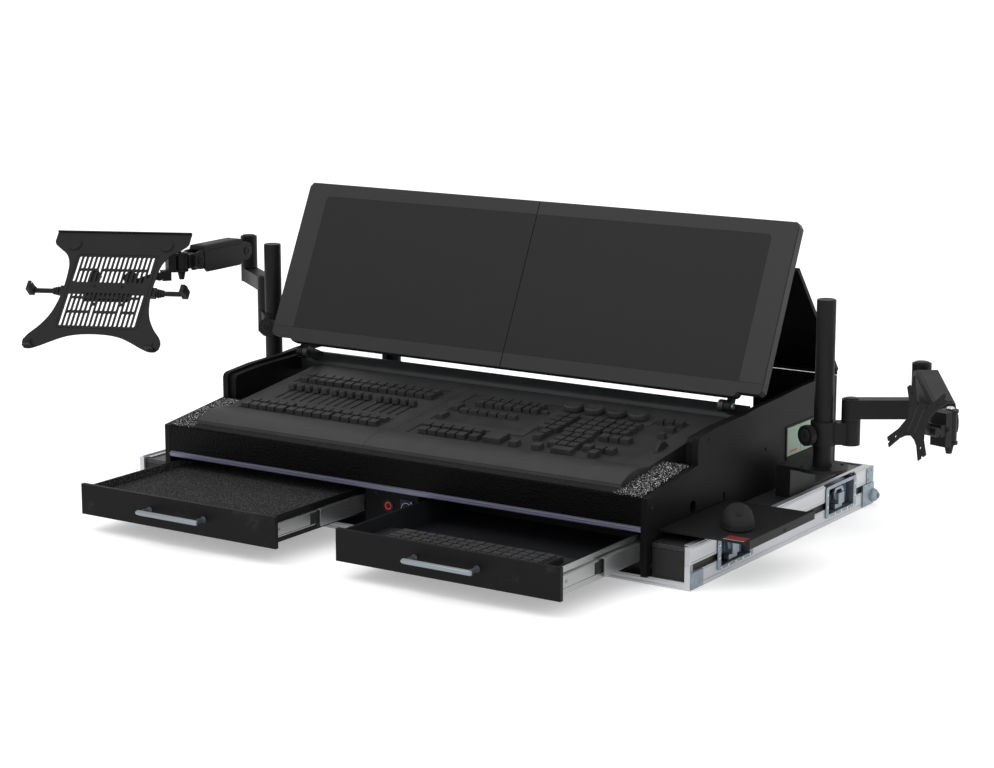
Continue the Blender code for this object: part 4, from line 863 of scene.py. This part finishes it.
ARMS = {
    "right": dict(boss=(652, 114.4), elbow=(753, 181, 285), tip=(898, -32, 254), bar=(213, 247), top=317, eye=24, half=16, drop=0),
    "left": dict(boss=(-652, 114.4), elbow=(-758, 193, 390), tip=(-750, -30, 390), bar=(322, 350), top=427, eye=14, half=12, drop=25),
}
for side, spec in ARMS.items():
    boss, elbow, tip = spec["boss"], Vector(spec["elbow"]), Vector(spec["tip"])
    low_z, high_z = spec["bar"]
    s = Shape("link_" + side, "lower_link_" + side, bevel=0.8)
    s.skin("lower_link_" + side, "powder")
    s.lathe("powder", (boss[0], boss[1], high_z), (0, 0, 1), [(0, 0), (13, 0), (13, 1.0), (11.6, 1.9), (0, 2.1)], 32)
    s.done("lower_link_" + side)

    level = Vector((tip.x - elbow.x, tip.y - elbow.y, 0))
    at = frame_at(elbow, level, (0, 0, 1))
    s = Shape("elbow_" + side, "knuckle_" + side, bevel=0.6)
    s.skin("knuckle_" + side, "powder")
    # the column ends flush with the arm's cover
    flush = elbow.z + 26.0
    for v in s.bm.verts:
        v.co.z = min(v.co.z, flush)
    s.lathe("powder", (elbow.x, elbow.y, flush), (0, 0, 1), [(0, 0), (14, 0), (13.6, 1.4), (11.5, 2.4), (0, 2.8)], 32)
    s.lathe("plate", (0, 0, high_z + 1.2 - elbow.z), (0, 0, 1), [(17.0, 0), (17.35, 0.5), (17.35, 2.0), (17.0, 2.6), (17.0, 0)], 36, at)
    s.done("knuckle_" + side)

    pivot = at @ Vector((32, 0, 0))
    flat_len = level.length - 32 - 38
    drop = elbow.z - tip.z
    span_len = math.hypot(flat_len, drop)
    pitch = math.atan2(drop, flat_len)
    far = frame_at(pivot, at.to_3x3() @ Vector((math.cos(pitch), 0, -math.sin(pitch))), at.to_3x3() @ Vector((math.sin(pitch), 0, math.cos(pitch))))
    s = Shape("arm_channel_" + side, "spring_arm_" + side, bevel=0.9)
    s.skin("spring_arm_" + side, "powder")
    for y in (-19, 19):
        way = (0, 1 if y > 0 else -1, 0)
        for x in (0, span_len):
            s.lathe("powder", (x, y, 0), way, [(0, 0), (9, 0), (9, 0.7), (7.6, 1.3), (5.2, 1.3), (4.7, 0.5), (0, 0.5)], 28, far)
        s.box("powder", (26, min(y, y + way[1] * 0.5), -6), (span_len - 26, max(y, y + way[1] * 0.5), 9), far)
    s.box("powder", (12, -19.4, 18.0), (span_len - 12, 19.4, 26.5), far, taper=(3.0, 1.2))
    s.box("powder", (20, -15.0, 26.4), (span_len - 22, 15.0, 27.6), far, taper=(1.0, 1.0))
    for y in (-1, 1):
        s.prism("powder", [(24, -26), (span_len - 20, -26), (span_len - 12, -18), (span_len - 12, 17), (16, 17), (16, -18)],
                -y * 20.2 if y < 0 else -20.2, -y * 15.8 if y < 0 else -15.8,
                far @ Matrix(((1, 0, 0, 0), (0, 0, -1, 0), (0, 1, 0, 0), (0, 0, 0, 1))))
    s.rod("satin", (24, 0, -3), (span_len - 24, 0, -3), 8.2, 1.0, 24, far)
    s.rod("powder", (span_len * 0.55, 0, -3), (span_len - 22, 0, -3), 10.0, 1.0, 24, far)
    s.done("spring_arm_" + side)

    end = far @ Vector((span_len, 0, 0))
    home = frame_at(end, level, (0, 0, 1))
    s = Shape("end_joint_" + side, "end_block_" + side, bevel=0.6)
    s.skin("end_block_" + side, "powder")
    s.done("end_block_" + side)

    pin = home @ Vector((38, 0, 0))
    centre = Vector((874.5, -116, 277)) if side == "right" else Vector((-833, -159, 343))
    away = centre - pin
    at = frame_at(pin, Vector((away.x, away.y, 0)), (0, 0, 1))
    top_z = spec["eye"] + 5.0
    s = Shape("head_joint_" + side, "head_" + side, bevel=0.6)
    s.skin("head_" + side, "powder")
    s.lathe("chrome", (0, 0, top_z + 1.5), (0, 0, 1), [(0, 0), (7, 0), (6.6, 1.6), (4.8, 3.0), (2.4, 3.4), (2.2, 1.8), (0, 1.8)], 28, at)
    for y in (-1, 1):
        s.screw("powder", (24, y * spec["half"], 0), (0, y, 0), 4.6, 2.0, at)
    s.done("head_" + side)

s = Shape("display_plate", "vesa_plate", bevel=0.35)
s.skin("vesa_plate", "powder")
for x in (-9, 9):
    s.prism("plate", rounded(x - 1.5, x + 1.5, -20, 22, 1.4, 3), -0.1, 0.25, VESA)
for x, y in ((-30, -30), (30, -30), (-30, 30), (30, 30)):
    s.screw("powder", (x * 0.45, y * 0.9, -0.1), (0, 0, 1), 2.6, 1.2, VESA)
s.done("vesa_plate")

# laptop tray with its rows of slots
s = Shape("laptop_shelf", "laptop_tray", bevel=0.4)
half = smooth_line([(0, -103), (30, -104.5), (58, -110), (84, -121), (106, -132), (126, -140), (140, -140)], 5) + \
    smooth_line([(146, -134), (147, -122), (141, -108), (122, -86), (107, -60), (99, -30), (96, 2), (97, 40), (101, 64), (112, 84), (130, 98), (142, 107)], 5) + \
    [(146, 114), (146, 139.6)]
outline = half + [(-x, y) for x, y in reversed(half) if x > 0.01]
holes = []
COLS = 17
for i in range(COLS):
    x = -78.8 + i * 157.6 / (COLS - 1)
    tall_low = i in (6, 12)
    tall_up = i == 5
    rows = [(-85, -54)] if not tall_low else []
    rows += [(-49, -20)] if not tall_low else [(-85, -36), (-30, -6.5)]
    if i in (0, COLS - 1):
        rows = [(-85, -8)]
    elif not tall_low:
        rows.append((-15.5, -6.5))
    if i == 0 or tall_up:
        rows.append((20, 80))
    elif i == COLS - 1:
        rows.append((30, 80))
    else:
        rows += [(18, 46), (51, 80)]
    for y0, y1 in rows:
        holes.append(rounded(x - 2.7, x + 2.7, y0, y1, 2.6, 3))
s.prism("powder", outline, -2.5, 0, TRAY, holes=holes)
rim = rounded(-89, 89, -90.5, 86.5, 6)
s.prism("powder", rim, -0.1, 0.7, TRAY, holes=[rounded(-86.4, 86.4, -88, 84, 5)])
s.prism("powder", rounded(-50, 50, -24, 17, 6), -7, -2.45, TRAY)
s.prism("powder", [(-50, 17), (-34, 17), (-22, 34), (-34, 50), (-50, 44)], -5.5, -2.9, TRAY)
s.prism("powder", [(50, 17), (50, 44), (34, 50), (22, 34), (34, 17)], -5.5, -2.9, TRAY)
for x in (-37.5, 37.5):
    for y in (-15, 9):
        s.screw("powder", (x * 0.8, y, -0.1), (0, 0, 1), 3.2, 1.5, TRAY)
for x in (-100, 100):
    s.lathe("rubber", (x, 108, -0.05), (0, 0, 1), [(0, 0), (14, 0), (14, 1.6), (12.6, 2.6), (10.8, 2.2), (0, 2.3)], 36, TRAY)
s.prism("powder", [(-146, 137.5), (146, 137.5), (146, 140), (-146, 140)], -2.4, 3.0, TRAY)
s.rod("powder", (-165, 0, -8), (165, 0, -8), 5, 0.6, 24, TRAY)
for sx in (-1, 1):
    s.box("powder", (min(sx * 92, sx * 104), -10, -12.6), (max(sx * 92, sx * 104), 10, -2.2), TRAY)
    for k in range(3):
        s.lathe("rubber", (sx * (106 + k * 5), 0, -8), (sx, 0, 0), [(0, 0), (8.6 - k, 0), (9.2 - k, 1.0), (9.2 - k, 2.6), (8.6 - k, 3.6), (0, 3.6)], 24, TRAY)
    hook = [(160, -12), (172, -12), (172, 9), (169, 14), (161, 14), (165, 6), (165, -4), (160, -6)]
    hook = [(sx * u, v) for u, v in hook]
    lay = TRAY @ Matrix(((1, 0, 0, 0), (0, 0, -1, 0), (0, 1, 0, 0), (0, 0, 0, 1)))
    s.prism("powder", hook, -9, 9, lay)
    s.prism("rubber", [(sx * 160.4, -3), (sx * 164.8, -3), (sx * 164.8, 5), (sx * 160.8, 12)], -8, 8, lay)
    clip = [(sx * u, v) for u, v in ((120, -134), (124, -139.5), (139, -139.5), (140, -134))]
    s.prism("powder", clip, -2, 3, TRAY)
    s.box("powder", (min(sx * 120, sx * 140), -138, -2), (max(sx * 120, sx * 140), -134, 16), TRAY, taper=(3, 0.6))
    s.box("powder", (min(sx * 122, sx * 138), -138, 13), (max(sx * 122, sx * 138), -128, 16), TRAY)
    s.screw("powder", (sx * 128, -124, -0.1), (0, 0, 1), 3.6, 1.4, TRAY)
spec = ARMS["left"]
boss, elbow, tip = spec["boss"], Vector(spec["elbow"]), Vector(spec["tip"])
level = Vector((tip.x - elbow.x, tip.y - elbow.y, 0)).normalized()
pin = elbow + level * (level.length and (Vector((tip.x - elbow.x, tip.y - elbow.y, 0)).length))
away = Vector((-833, -159, 343)) - pin
at = frame_at(pin, Vector((away.x, away.y, 0)), (0, 0, 1))
tilt = at @ Vector((50, 0, -25))
stem = TRAY @ Vector((0, 0, -8))
s.rod("powder", tuple(tilt), tuple(stem), 8, 0.6, 24)
s.rod("powder", (50, -16, -25), (50, 16, -25), 8, 0.8, 28, at)
s.lathe("powder", (50, 16, -25), (0, 1, 0), [(0, 0), (5, 0), (4.6, 1.6), (0, 2)], 20, at)
s.prism("powder", rounded(-30, 30, -12, 12, 5), -14, -6.5, TRAY)
s.done("laptop_tray")

# ------------------------------------------------------------ studio

floor_mesh = bpy.data.meshes.new("floor")
bm = bmesh.new()
bmesh.ops.create_grid(bm, x_segments=8, y_segments=8, size=40)
bm.to_mesh(floor_mesh)
bm.free()
floor_paint = paint("studio_floor", (0.88, 0.88, 0.88), 0.85, spec=0.1, tint=0.01, scale=2, bump=0.0)
floor_paint.node_tree.nodes["Principled BSDF"].inputs["Emission Color"].default_value = (1, 1, 1, 1)
floor_paint.node_tree.nodes["Principled BSDF"].inputs["Emission Strength"].default_value = 0.35
floor_mesh.materials.append(floor_paint)
floor = bpy.data.objects.new("floor", floor_mesh)
floor.location.z = -0.0005
bpy.context.scene.collection.objects.link(floor)

world = bpy.data.worlds.new("studio")
world.use_nodes = True
bpy.context.scene.world = world
back = world.node_tree.nodes["Background"]
back.inputs["Color"].default_value = (1, 1, 1, 1)
back.inputs["Strength"].default_value = 1.0
bpy.context.scene.view_settings.view_transform = "Standard"


def soft_light(name, place, aim, size, power):
    data = bpy.data.lights.new(name, "AREA")
    data.shape = "DISK"
    data.size = size
    data.energy = power
    o = bpy.data.objects.new(name, data)
    o.location = place
    o.rotation_euler = (Vector(aim) - Vector(place)).to_track_quat("-Z", "Y").to_euler()
    bpy.context.scene.collection.objects.link(o)


soft_light("key", (-1.2, -2.2, 3.4), (0, 0, 0.2), 2.4, 30)
soft_light("fill", (3.2, -1.4, 1.8), (0.2, 0, 0.2), 2.0, 10)

cam_data = bpy.data.cameras.new("camera")
cam_data.lens = 88.68
cam_data.sensor_width = 36.0
cam = bpy.data.objects.new("camera", cam_data)
target = Vector((-0.01475, 0.0, 0.21818))
cam.location = target + 4.551 * Vector((0.5396, -0.8182, 0.1988))
cam.rotation_euler = (target - cam.location).to_track_quat("-Z", "Y").to_euler()
bpy.context.scene.collection.objects.link(cam)
bpy.context.scene.camera = cam
